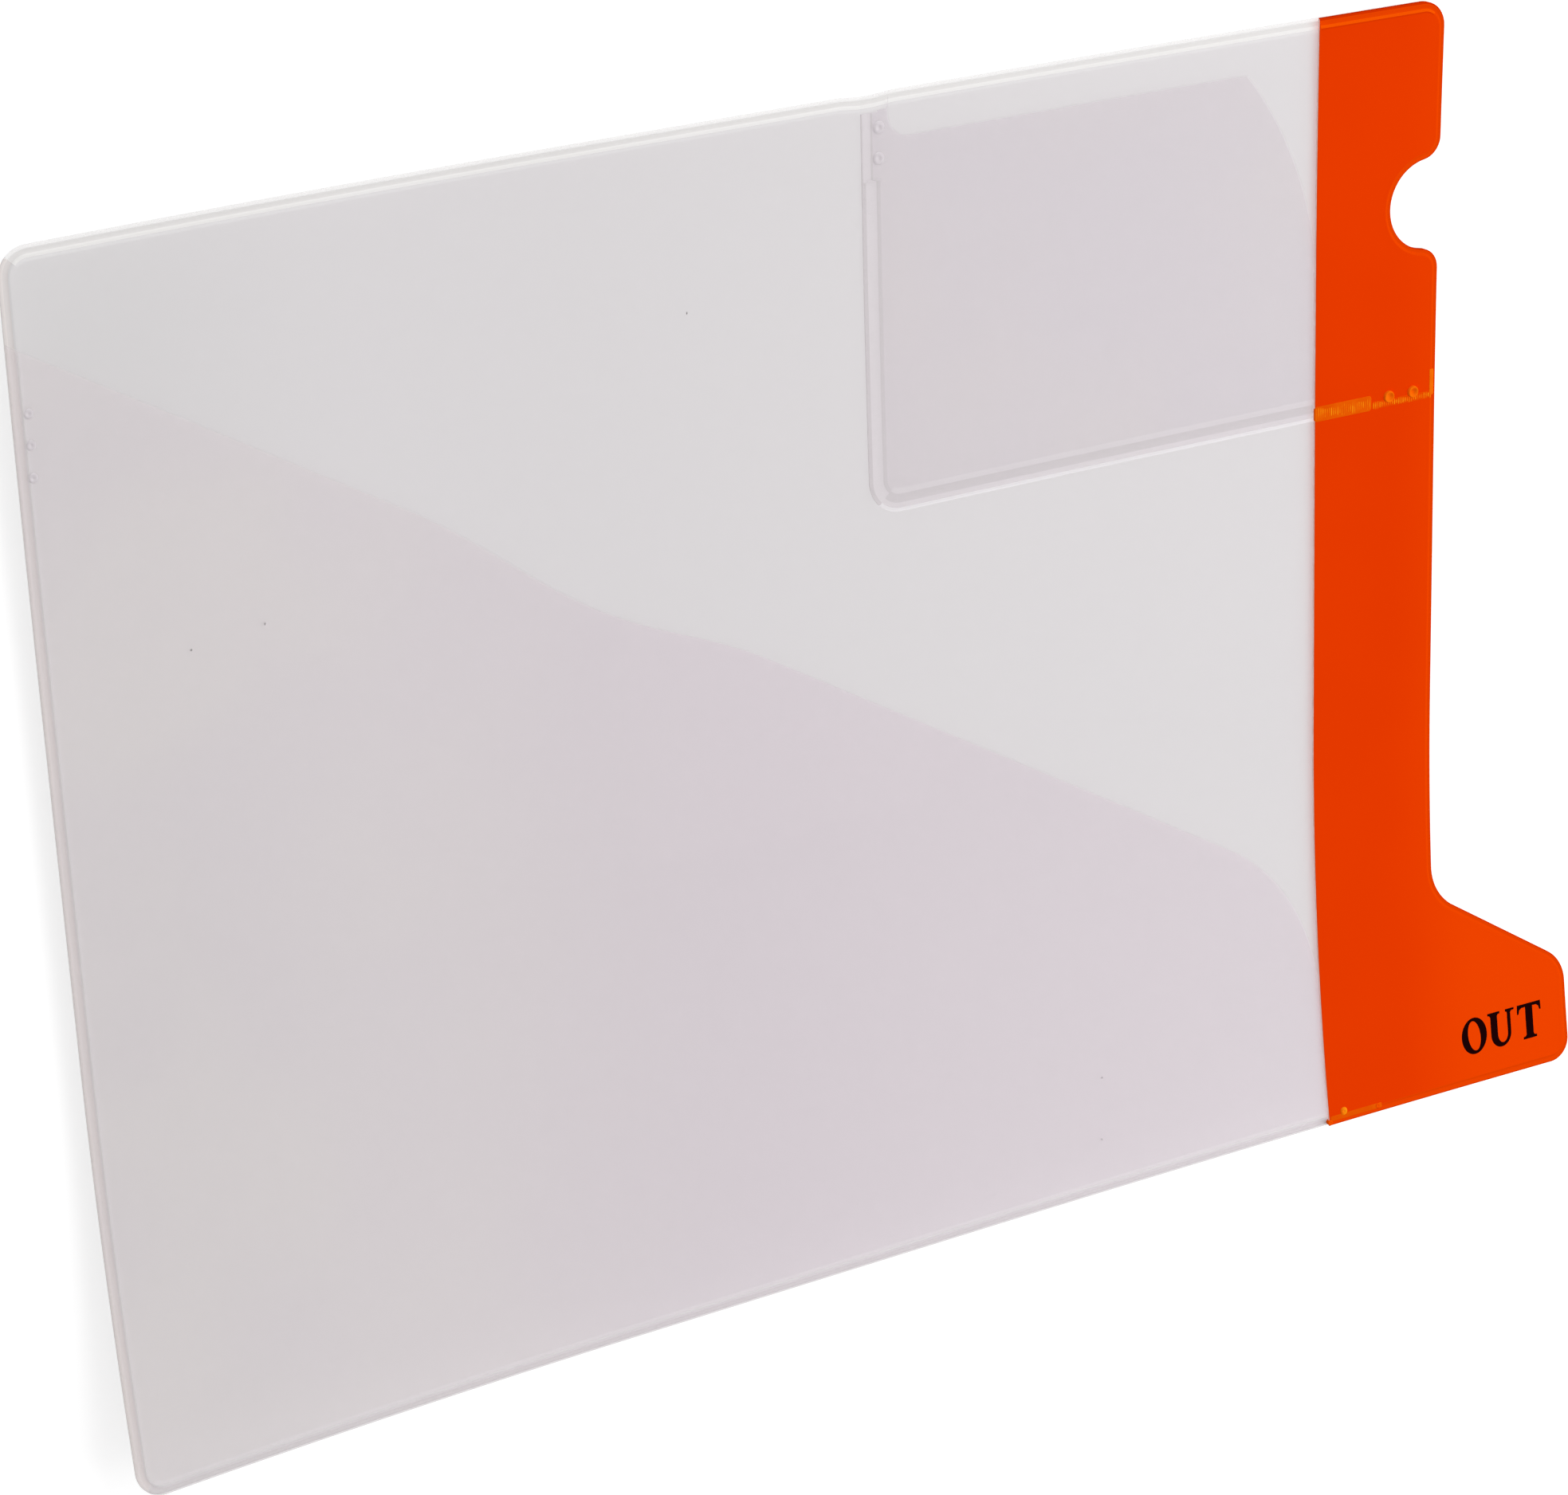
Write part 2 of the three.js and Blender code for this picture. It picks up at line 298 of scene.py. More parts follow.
@dataclass(frozen=True)
class Curl:
    """How the folder's margins rise from its flat middle: each margin's width and rise in millimetres."""

    left: Point = (112.5, 4.2)
    right: Point = (154.0, 3.1)
    top: Point = (90.5, 1.7)
    bottom: Point = (90.5, 6.9)

    def values(self) -> dict[str, float]:
        """The curl as values for a tree's named inputs.

        Returns:
            Each margin's start, width and rise by the input's name, in metres in the row frame.
        """
        starts = {
            "Left": BACK_LOW.x + self.left[0],
            "Right": BACK_HIGH.x - self.right[0],
            "Top": BACK_HIGH.y - self.top[0],
            "Bottom": BACK_LOW.y + self.bottom[0],
        }
        values: dict[str, float] = {}
        for name, start in starts.items():
            width, rise = getattr(self, name.lower())
            values[f"{name} Start"] = start * MM
            values[f"{name} Width"] = width * MM
            values[f"{name} Rise"] = rise * MM
        return values

    def add_to(self, tree: bpy.types.NodeTree, geometry: Socket, inputs: bpy.types.NodeOutputs) -> Socket:
        """Adds the nodes that lift flat geometry onto the curl, which rises with the square of the depth.

        Args:
            tree: A geometry tree whose inputs hold the margins' starts, widths and rises.
            geometry: The flat geometry, in the row frame.
            inputs: The outputs of the tree's input node.

        Returns:
            The curled geometry's socket.
        """
        position = add_node(tree, "GeometryNodeInputPosition")
        split = add_node(tree, "ShaderNodeSeparateXYZ", {0: position}).outputs
        total = 0.0
        margins = (("Left", 0, -1.0), ("Right", 0, 1.0), ("Top", 1, 1.0), ("Bottom", 1, -1.0))
        for name, axis, sign in margins:
            lift = split[axis]
            steps = (("SUBTRACT", inputs[f"{name} Start"]), ("MULTIPLY", sign), ("MAXIMUM", 0.0),
                     ("DIVIDE", inputs[f"{name} Width"]), ("POWER", 2.0),
                     ("MULTIPLY", inputs[f"{name} Rise"]), ("ADD", total))
            for operation, value in steps:
                lift = add_node(tree, "ShaderNodeMath", {0: lift, 1: value}, operation=operation)
            total = lift
        offset = add_node(tree, "ShaderNodeCombineXYZ", {2: total})
        return add_node(tree, "GeometryNodeSetPosition", {0: geometry, "Offset": offset}).outputs[0]


CURL = Curl()


class FlatPieceTree:
    """A geometry tree that takes a flat piece, works on it, lifts it onto the curl and dresses it."""

    name = "curl_flat_piece"
    sizes: tuple[str, ...] = ()
    shares: tuple[str, ...] = ()

    def __init__(self) -> None:
        """Makes the tree, with named inputs for the geometry, the material, the curl and the sizes."""
        self.tree = bpy.data.node_groups.new(self.name, "GeometryNodeTree")
        sockets = {"Geometry": "NodeSocketGeometry", "Material": "NodeSocketMaterial"}
        sockets.update({name: "NodeSocketFloat" for name in (*CURL.values(), *self.sizes, *self.shares)})
        for name, kind in sockets.items():
            self.tree.interface.new_socket(name, in_out="INPUT", socket_type=kind)
        self.tree.interface.new_socket("Geometry", in_out="OUTPUT", socket_type="NodeSocketGeometry")
        self.inputs = self.add("NodeGroupInput").outputs
        worked = self.work(self.inputs["Geometry"])
        real = self.add("GeometryNodeRealizeInstances", {0: worked})
        curled = CURL.add_to(self.tree, real.outputs[0], self.inputs)
        dressed = self.add("GeometryNodeSetMaterial", {0: curled, "Material": self.inputs["Material"]})
        self.add("NodeGroupOutput", {0: dressed})

    def add(self, kind: str, links: dict | None = None, **settings: object) -> bpy.types.Node:
        """Adds a node to this tree."""
        return add_node(self.tree, kind, links, **settings)

    def work(self, geometry: Socket) -> Socket:
        """What the tree does to the flat piece before it curls it: here, nothing."""
        return geometry

    def apply(self, name: str, mesh: bpy.types.Mesh, material: bpy.types.Material,
              sizes: dict[str, float] | None = None) -> bpy.types.Object:
        """Runs the tree on a flat mesh and keeps the result as a plain mesh.

        Args:
            name: The new piece's name.
            mesh: The flat mesh, in metres in the row frame.
            material: The piece's finish.
            sizes: The tree's sizes in millimetres and its shares, by the input's name.

        Returns:
            The piece's object, with no modifier left on it.
        """
        obj = bpy.data.objects.new(name, mesh)
        bpy.context.scene.collection.objects.link(obj)
        modifier = obj.modifiers.new(self.name, "NODES")
        modifier.node_group = self.tree
        items = self.tree.interface.items_tree
        identifiers = {item.name: item.identifier for item in items if item.in_out == "INPUT"}
        given = sizes or {}
        values = {key: value if key in self.shares else value * MM for key, value in given.items()}
        for key, value in {**CURL.values(), **values, "Material": material}.items():
            modifier[identifiers[key]] = value
        evaluated = obj.evaluated_get(bpy.context.evaluated_depsgraph_get())
        result = bpy.data.meshes.new_from_object(evaluated)
        obj.modifiers.remove(modifier)
        obj.data = result
        result.name = name
        bpy.data.meshes.remove(mesh)
        return obj


class KnurlTree(FlatPieceTree):
    """Rounded ridges at an even pitch along a line, as a knurled welding bar leaves them."""

    name = "knurl_ridges"
    sizes = ("Pitch", "Ridge Width", "Ridge Length", "Ridge Height")
    smallest = (0.7, 0.55, 0.6)
    largest = (1.2, 1.0, 1.1)
    seed = 11

    def work(self, geometry: Socket) -> Socket:
        """Stands a flattened ball, a little uneven in size, across the line at each pitch.

        Args:
            geometry: The line that the ridges stand along.

        Returns:
            The ridges' socket.
        """
        line = self.add("GeometryNodeMeshToCurve", {0: geometry})
        points = self.add("GeometryNodeResampleCurve", {0: line, "Length": self.inputs["Pitch"]},
                          mode="LENGTH")
        ball = self.add("GeometryNodeMeshUVSphere", {"Segments": 10, "Rings": 6, "Radius": 0.5})
        size = self.add("ShaderNodeCombineXYZ", {
            0: self.inputs["Ridge Width"], 1: self.inputs["Ridge Length"], 2: self.inputs["Ridge Height"]})
        ridge = self.add("GeometryNodeTransform", {0: ball, "Scale": size})
        tangent = self.add("GeometryNodeInputTangent")
        turn = self.add("FunctionNodeAlignRotationToVector", {"Vector": tangent}, axis="X")
        uneven = self.add("FunctionNodeRandomValue",
                          {"Min": self.smallest, "Max": self.largest, "Seed": self.seed},
                          data_type="FLOAT_VECTOR")
        placed = self.add("GeometryNodeInstanceOnPoints",
                          {"Points": points, "Instance": ridge, "Rotation": turn, "Scale": uneven})
        return placed.outputs[0]


class StampTree(FlatPieceTree):
    """A low round crest with a dish inside it on each point, as a round welding pin leaves it."""

    name = "stamped_dishes"
    sizes = ("Stamp Radius", "Crest Height", "Sunk")
    shares = ("Inner Power", "Outer Power")
    equator = 0.001

    def work(self, geometry: Socket) -> Socket:
        """Reshapes a ball: its upper half to the stamp's profile, its lower half to a flat floor.

        Args:
            geometry: The points that the stamps stand on.

        Returns:
            The stamps' socket.
        """
        ball = self.add("GeometryNodeMeshUVSphere", {"Segments": 28, "Rings": 24, "Radius": 1.0})
        place = self.add("GeometryNodeInputPosition")
        split = self.add("ShaderNodeSeparateXYZ", {0: place}).outputs
        values = {name: self.inputs[name] for name in (*self.sizes, *self.shares)}
        values.update(zip(("x", "y", "z"), split))
        steps = (
            ("x squared", "MULTIPLY", "x", "x"),
            ("y squared", "MULTIPLY", "y", "y"),
            ("sum of squares", "ADD", "x squared", "y squared"),
            ("distance", "SQRT", "sum of squares", 0.0),
            ("share", "MINIMUM", "distance", 1.0),
            ("rest", "SUBTRACT", 1.0, "share"),
            ("rise", "POWER", "share", "Inner Power"),
            ("fall", "POWER", "rest", "Outer Power"),
            ("curve", "MULTIPLY", "rise", "fall"),
            ("profile", "MULTIPLY", "curve", "Crest Height"),
            ("upper", "GREATER_THAN", "z", self.equator),
            ("lower", "SUBTRACT", 1.0, "upper"),
            ("crest", "MULTIPLY", "profile", "upper"),
            ("floor", "MULTIPLY", "lower", "Sunk"),
            ("height", "SUBTRACT", "crest", "floor"),
            ("across", "MULTIPLY", "x", "Stamp Radius"),
            ("along", "MULTIPLY", "y", "Stamp Radius"),
        )
        for name, operation, first, second in steps:
            links = {0: values.get(first, first), 1: values.get(second, second)}
            values[name] = self.add("ShaderNodeMath", links, operation=operation)
        target = self.add("ShaderNodeCombineXYZ",
                          {0: values["across"], 1: values["along"], 2: values["height"]})
        stamp = self.add("GeometryNodeSetPosition", {0: ball, "Position": target})
        placed = self.add("GeometryNodeInstanceOnPoints", {"Points": geometry, "Instance": stamp})
        return placed.outputs[0]


class SpeckTree(FlatPieceTree):
    """A tiny flake on each point, each turned and stretched in its own way."""

    name = "dust_specks"
    sizes = ("Flake Width", "Flake Height")
    smallest = (0.6, 0.6, 0.8)
    largest = (1.0, 1.9, 1.2)
    most_turn = 0.6
    seed = 5

    def work(self, geometry: Socket) -> Socket:
        """Lays a flattened ball on each point.

        Args:
            geometry: The points.

        Returns:
            The flakes' socket.
        """
        ball = self.add("GeometryNodeMeshUVSphere", {"Segments": 8, "Rings": 5, "Radius": 0.5})
        size = self.add("ShaderNodeCombineXYZ", {
            0: self.inputs["Flake Width"], 1: self.inputs["Flake Width"], 2: self.inputs["Flake Height"]})
        flake = self.add("GeometryNodeTransform", {0: ball, "Scale": size})
        stretch = self.add("FunctionNodeRandomValue",
                           {"Min": self.smallest, "Max": self.largest, "Seed": self.seed},
                           data_type="FLOAT_VECTOR")
        turn = self.add("FunctionNodeRandomValue",
                        {"Min": (0.0, 0.0, -self.most_turn), "Max": (0.0, 0.0, self.most_turn),
                         "Seed": self.seed + 1}, data_type="FLOAT_VECTOR")
        placed = self.add("GeometryNodeInstanceOnPoints",
                          {"Points": geometry, "Instance": flake, "Rotation": turn, "Scale": stretch})
        return placed.outputs[0]


class Slot(Enum):
    """The record's material slots."""

    FROSTED = "frosted_vinyl"
    POCKET = "pocket_vinyl"
    ORANGE = "orange_vinyl"


@dataclass(frozen=True)
class Vinyl:
    """Calendered PVC film: an even colour with faint clouds, and a fine pressed grain.

    The real grain is too fine to show in the render, so it is drawn as coarse as it needs to be.
    """

    name: str
    colour: str
    cloud_colour: str
    slot: Slot
    alpha: float = 1.0
    roughness: float = 0.4
    gloss: float = 0.5
    casts_shadow: bool = True
    grain_mm: float = 0.45
    grain_depth_mm: float = 0.004
    cloud_mm: float = 55.0
    cloud_span: Point = (0.35, 0.65)
    ior: float = 1.53
    end_colour: str = ""
    end_from: float = 0.0
    end_to: float = 0.0

    def _toward_end(self, tree: bpy.types.NodeTree, place: Socket, colour: Socket) -> Socket:
        """Shifts the colour along the folder's width, from one distance off its left edge to another.

        Args:
            tree: The material's tree.
            place: The place on the folder, in metres in the row frame.
            colour: The colour up to where the shift starts.

        Returns:
            The shifted colour's socket.
        """
        across = add_node(tree, "ShaderNodeSeparateXYZ", {0: place}).outputs[0]
        start, end = ((BACK_LOW.x + distance) * MM for distance in (self.end_from, self.end_to))
        share = add_node(tree, "ShaderNodeMapRange", {0: across, 1: start, 2: end},
                         interpolation_type="SMOOTHSTEP")
        mixed = add_node(tree, "ShaderNodeMix",
                         {0: share, 6: colour, 7: linear(self.end_colour)},
                         data_type="RGBA")
        return mixed.outputs[2]

    def material(self) -> bpy.types.Material:
        """The film as a node material, made once.

        Returns:
            The material.
        """
        made = bpy.data.materials.get(self.name)
        if made:
            return made
        material = bpy.data.materials.new(self.name)
        material.use_nodes = True
        tree = material.node_tree
        shader = tree.nodes["Principled BSDF"]
        place = add_node(tree, "ShaderNodeTexCoord").outputs["Object"]
        clouds = add_node(tree, "ShaderNodeTexNoise",
                          {"Vector": place, "Scale": 1 / (self.cloud_mm * MM), "Detail": 2.0})
        thin, thick = self.cloud_span
        soft = add_node(tree, "ShaderNodeMapRange", {0: clouds.outputs["Fac"], 1: thin, 2: thick},
                        interpolation_type="SMOOTHSTEP")
        tint = add_node(tree, "ShaderNodeMix",
                        {0: soft, 6: linear(self.colour), 7: linear(self.cloud_colour)},
                        data_type="RGBA")
        grain = add_node(tree, "ShaderNodeTexNoise",
                         {"Vector": place, "Scale": 1 / (self.grain_mm * MM), "Detail": 2.0})
        bump = add_node(tree, "ShaderNodeBump", {
            "Strength": 1.0, "Distance": self.grain_depth_mm * MM, "Height": grain.outputs["Fac"]})
        colour = self._toward_end(tree, place, tint.outputs[2]) if self.end_colour else tint.outputs[2]
        tree.links.new(colour, shader.inputs["Base Color"])
        tree.links.new(bump.outputs[0], shader.inputs["Normal"])
        for socket, value in (("Roughness", self.roughness), ("IOR", self.ior), ("Alpha", self.alpha),
                              ("Specular IOR Level", self.gloss)):
            shader.inputs[socket].default_value = value
        return material


# Frosted PVC, calendered with a matt grain: a milky grey that lets what lies behind it show faintly,
# with a painted shade that leaves it a little darker near the left edge
FROSTED = Vinyl("frosted_vinyl_calendered", "#e3e0e1", "#e1dedf", Slot.FROSTED, alpha=0.6, roughness=0.42,
                gloss=0.25, end_colour="#e7e3e5", end_to=70.0)
# The same vinyl thinned by the welding bar, so that most of the light comes through it, and whitened
# as a painted highlight on the rim's rounded outer edge
FROSTED_THIN_LIT = Vinyl("frosted_vinyl_thinned_painted_highlight", "#f6f4f3", "#f3f1f0", Slot.FROSTED, alpha=0.36, gloss=0.1)
# Its pressed trough, greyer as a painted shade, and its raised bead, lighter as a painted highlight
FROSTED_TROUGH_SHADE = Vinyl("frosted_vinyl_trough_painted_shade", "#e4e1e0", "#e2dfde", Slot.FROSTED, alpha=0.85, gloss=0.2)
FROSTED_BEAD_HIGHLIGHT = Vinyl("frosted_vinyl_bead_painted_highlight", "#f0eeed", "#eeecea", Slot.FROSTED, alpha=0.85, gloss=0.2)
# Its left margin: a warm-tinted outer lip, lighter as a painted highlight, and the trough beside it,
# warm-tinted too and darker as a painted shade
FROSTED_WARM_LIT = Vinyl("frosted_vinyl_warm_lip_painted_highlight", "#efe6e2", "#ede4e1", Slot.FROSTED, alpha=0.6, gloss=0.1)
FROSTED_SHADE = Vinyl("frosted_vinyl_warm_trough_painted_shade", "#e3dbd9", "#e1dad8", Slot.FROSTED, alpha=0.6,
                      gloss=0.1)
# Clear PVC film, calendered and slightly hazy: a thin veil that casts no shadow and turns cooler to the
# right. A closed sheet is seen through twice, so its alpha is about half of what the eye gets
CLEAR = Vinyl("hazy_clear_vinyl_calendered", "#e1dada", "#dfd7da", Slot.POCKET, alpha=0.25, gloss=0.2,
              casts_shadow=False, end_colour="#dcd0d8", end_from=40.0, end_to=150.0)
# The card pocket's film, which is a little heavier
CLEAR_CARD = Vinyl("hazy_clear_vinyl_heavier", "#d4cbd2", "#d6cdd1", Slot.POCKET, alpha=0.25, gloss=0.2,
                   casts_shadow=False)
# The same film where the welding bar pressed it: painted shade in the trough and a lighter painted
# shade beside it, painted highlight on the raised bead and a brighter one on the lip, and fused away
CLEAR_TROUGH_SHADE = Vinyl("clear_vinyl_trough_painted_shade", "#cac2c4", "#c8c1c3", Slot.POCKET, alpha=0.3, gloss=0.1)
CLEAR_SHADE = Vinyl("clear_vinyl_half_painted_shade", "#ddd3d3", "#dbd2d2", Slot.POCKET, alpha=0.3, gloss=0.1)
CLEAR_BEAD_HIGHLIGHT = Vinyl("clear_vinyl_bead_painted_highlight", "#eae3e6", "#e8e2e5", Slot.POCKET, alpha=0.22, gloss=0.2)
CLEAR_LIP_HIGHLIGHT = Vinyl("clear_vinyl_lip_painted_highlight", "#fdfbfd", "#f9f7f9", Slot.POCKET, alpha=0.42, gloss=0.2)
CLEAR_FUSED = Vinyl("clear_vinyl_fused", "#f0eeee", "#eeecec", Slot.POCKET, alpha=0.02, gloss=0.0)
# Pigmented PVC, calendered: a solid orange with a satin face, with a painted highlight on the tab
ORANGE = Vinyl("orange_vinyl_calendered", "#e13800", "#e43a00", Slot.ORANGE, gloss=0.0, casts_shadow=False,
               end_colour="#ea4200", end_from=SHEET_WIDTH - 12.0, end_to=SHEET_WIDTH + 12.0)
# Its cut left edge, painted a pale pinkish white, and a painted shade in a line beside it
ORANGE_CUT = Vinyl("orange_vinyl_cut_edge", "#fbe2dc", "#f4cfc4", Slot.ORANGE, gloss=0.0, cloud_mm=2.5)
ORANGE_SHADE_LINE = Vinyl("orange_vinyl_painted_shade_line", "#cb3c0e", "#cf400c", Slot.ORANGE, gloss=0.0)
# Its welded rim: a painted shade on the outer edge, a lighter band, a painted highlight on the bead
# and a painted shade inside it. The foot's beads take the bead's colour as their own
ORANGE_EDGE_SHADE = Vinyl("orange_vinyl_rim_edge_painted_shade", "#cc2f00", "#d03200", Slot.ORANGE, gloss=0.0)
ORANGE_RIM = Vinyl("orange_vinyl_rim", "#e44100", "#e44200", Slot.ORANGE, gloss=0.0)
ORANGE_BEAD_AND_HIGHLIGHT = Vinyl("orange_vinyl_bead_colour_and_painted_highlight", "#ee5300", "#ec5000", Slot.ORANGE, gloss=0.0)
ORANGE_INNER_SHADE = Vinyl("orange_vinyl_rim_inner_painted_shade", "#d83600", "#d93600", Slot.ORANGE, gloss=0.0)
# The same orange fused under the knurled bar: thinner and yellower
ORANGE_WELD = Vinyl("orange_vinyl_fused", "#df5000", "#e45a02", Slot.ORANGE, gloss=0.0, cloud_mm=6.0,
                    casts_shadow=False)
# A weld that was pressed less: nearer to the orange of the strip
ORANGE_SOFT_WELD = Vinyl("orange_vinyl_half_fused", "#e14400", "#e54b00", Slot.ORANGE, gloss=0.0,
                         cloud_mm=6.0, casts_shadow=False)
# Fused vinyl drawn up round a pin or along a bar
ORANGE_RIDGE = Vinyl("orange_vinyl_fused_ridge", "#ed6202", "#f37008", Slot.ORANGE, gloss=0.0, cloud_mm=3.0,
                     casts_shadow=False)
# The crests of the fused vinyl, which are thinnest and let the most light through
ORANGE_CREST = Vinyl("orange_vinyl_fused_crest", "#e96406", "#f69412", Slot.ORANGE, gloss=0.0, cloud_mm=2.0,
                     casts_shadow=False)
# Clear film under a welding pin: a shallow dish, greyer than the film
STAMPED = Vinyl("clear_vinyl_stamped", "#d8d2d6", "#d6d0d4", Slot.POCKET, alpha=0.6, roughness=0.3,
                casts_shadow=False)
# Hot-stamped ink on the vinyl: a brown black
INK = Vinyl("stamped_ink", "#210509", "#1b0406", Slot.ORANGE, roughness=0.5, gloss=0.0)
# Dust and lint on the film
DUST = Vinyl("dust_speck", "#8c8788", "#7c7878", Slot.FROSTED, roughness=0.9)

# A rim's cross-section has 14 rings of faces, counted from its underside out to the edge and back over
# the face. Each table gives the finish of some of them, for each kind of edge that the sheet has; many
# of these finishes are painted highlight and painted shade on the lip, trough and bead
WHOLE_RIM = range(0, 14)
UNDERSIDE = range(0, 2)
WALL = range(2, 5)
OUTER_LIP = range(5, 7)
TROUGH = range(7, 10)
BEAD = range(10, 13)
BACK_TONES = {
    Edge.TOP_WELD: ((UNDERSIDE, FROSTED_THIN_LIT), (WALL, FROSTED_THIN_LIT), (OUTER_LIP, FROSTED_THIN_LIT),
                    (TROUGH, FROSTED_TROUGH_SHADE), (BEAD, FROSTED_BEAD_HIGHLIGHT)),
    Edge.SIDE_WELD: ((WALL, FROSTED_SHADE), (OUTER_LIP, FROSTED_WARM_LIT), (TROUGH, FROSTED_SHADE)),
}
DIAGONAL_TONES = {
    Edge.CUT: ((range(1, 7), CLEAR_FUSED),),
    Edge.SIDE_WELD: ((range(7, 11), CLEAR_SHADE), (range(11, 13), CLEAR_BEAD_HIGHLIGHT)),
    Edge.BOTTOM_WELD: ((range(2, 10), CLEAR_TROUGH_SHADE), (range(10, 14), CLEAR_BEAD_HIGHLIGHT)),
}
CARD_TONES = {
    Edge.CUT: ((range(1, 7), CLEAR_FUSED),),
    Edge.TOP_WELD: ((WHOLE_RIM, CLEAR_FUSED),),
    Edge.CARD_END_WELD: ((WHOLE_RIM, CLEAR_FUSED),),
    Edge.CARD_TOP_WELD: ((WALL, CLEAR_TROUGH_SHADE), (range(5, 10), CLEAR_BEAD_HIGHLIGHT), (range(10, 12), CLEAR_TROUGH_SHADE)),
    Edge.CARD_WELD: ((range(2, 6), CLEAR_TROUGH_SHADE), (range(6, 10), CLEAR_BEAD_HIGHLIGHT), (BEAD, CLEAR_TROUGH_SHADE)),
    Edge.CARD_FLOOR_WELD: ((range(2, 6), CLEAR_LIP_HIGHLIGHT), (range(6, 8), CLEAR_BEAD_HIGHLIGHT),
                           (range(8, 12), CLEAR_TROUGH_SHADE), (range(12, 14), CLEAR_BEAD_HIGHLIGHT)),
}
STRIP_TONES = {
    Edge.TOP_WELD: ((range(2, 6), ORANGE_EDGE_SHADE), (range(6, 9), ORANGE_RIM), (range(9, 12), ORANGE_BEAD_AND_HIGHLIGHT),
                    (range(12, 13), ORANGE_INNER_SHADE)),
    Edge.END_WELD: ((range(2, 6), ORANGE_EDGE_SHADE), (range(6, 12), ORANGE_RIM)),
    Edge.BOTTOM_WELD: ((WALL, ORANGE_EDGE_SHADE), (range(5, 12), ORANGE_RIM)),
    Edge.CUT: ((WALL, ORANGE_CUT), (range(5, 9), ORANGE_SHADE_LINE)),
}


def settle(obj: bpy.types.Object, finish: Vinyl, node: str | None = None) -> None:
    """Shades a finished piece and ties it to the frame.

    Args:
        obj: The piece.
        finish: Its finish, which names its slot.
        node: The CAD node that it stands for, if it stands for one.
    """
    obj.data.shade_smooth()
    obj.data.set_sharp_from_angle(angle=math.radians(SHARP_DEGREES))
    obj.visible_shadow = finish.casts_shadow
    if node:
        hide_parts(node)
    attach(obj, ROOT_BODY)
    LOG.info("%s: %d faces", obj.name, len(obj.data.polygons))


def lay(tree: FlatPieceTree, name: str, mesh: bpy.types.Mesh, finish: Vinyl,
        sizes: dict[str, float] | None = None) -> None:
    """Runs a tree on a flat mesh, and dresses and ties the piece that comes of it.

    Args:
        tree: The tree.
        name: The piece's name.
        mesh: The flat mesh, in metres in the row frame.
        finish: The piece's finish.
        sizes: The tree's sizes in millimetres and its shares, by the input's name.
    """
    settle(tree.apply(name, mesh, finish.material(), sizes), finish)


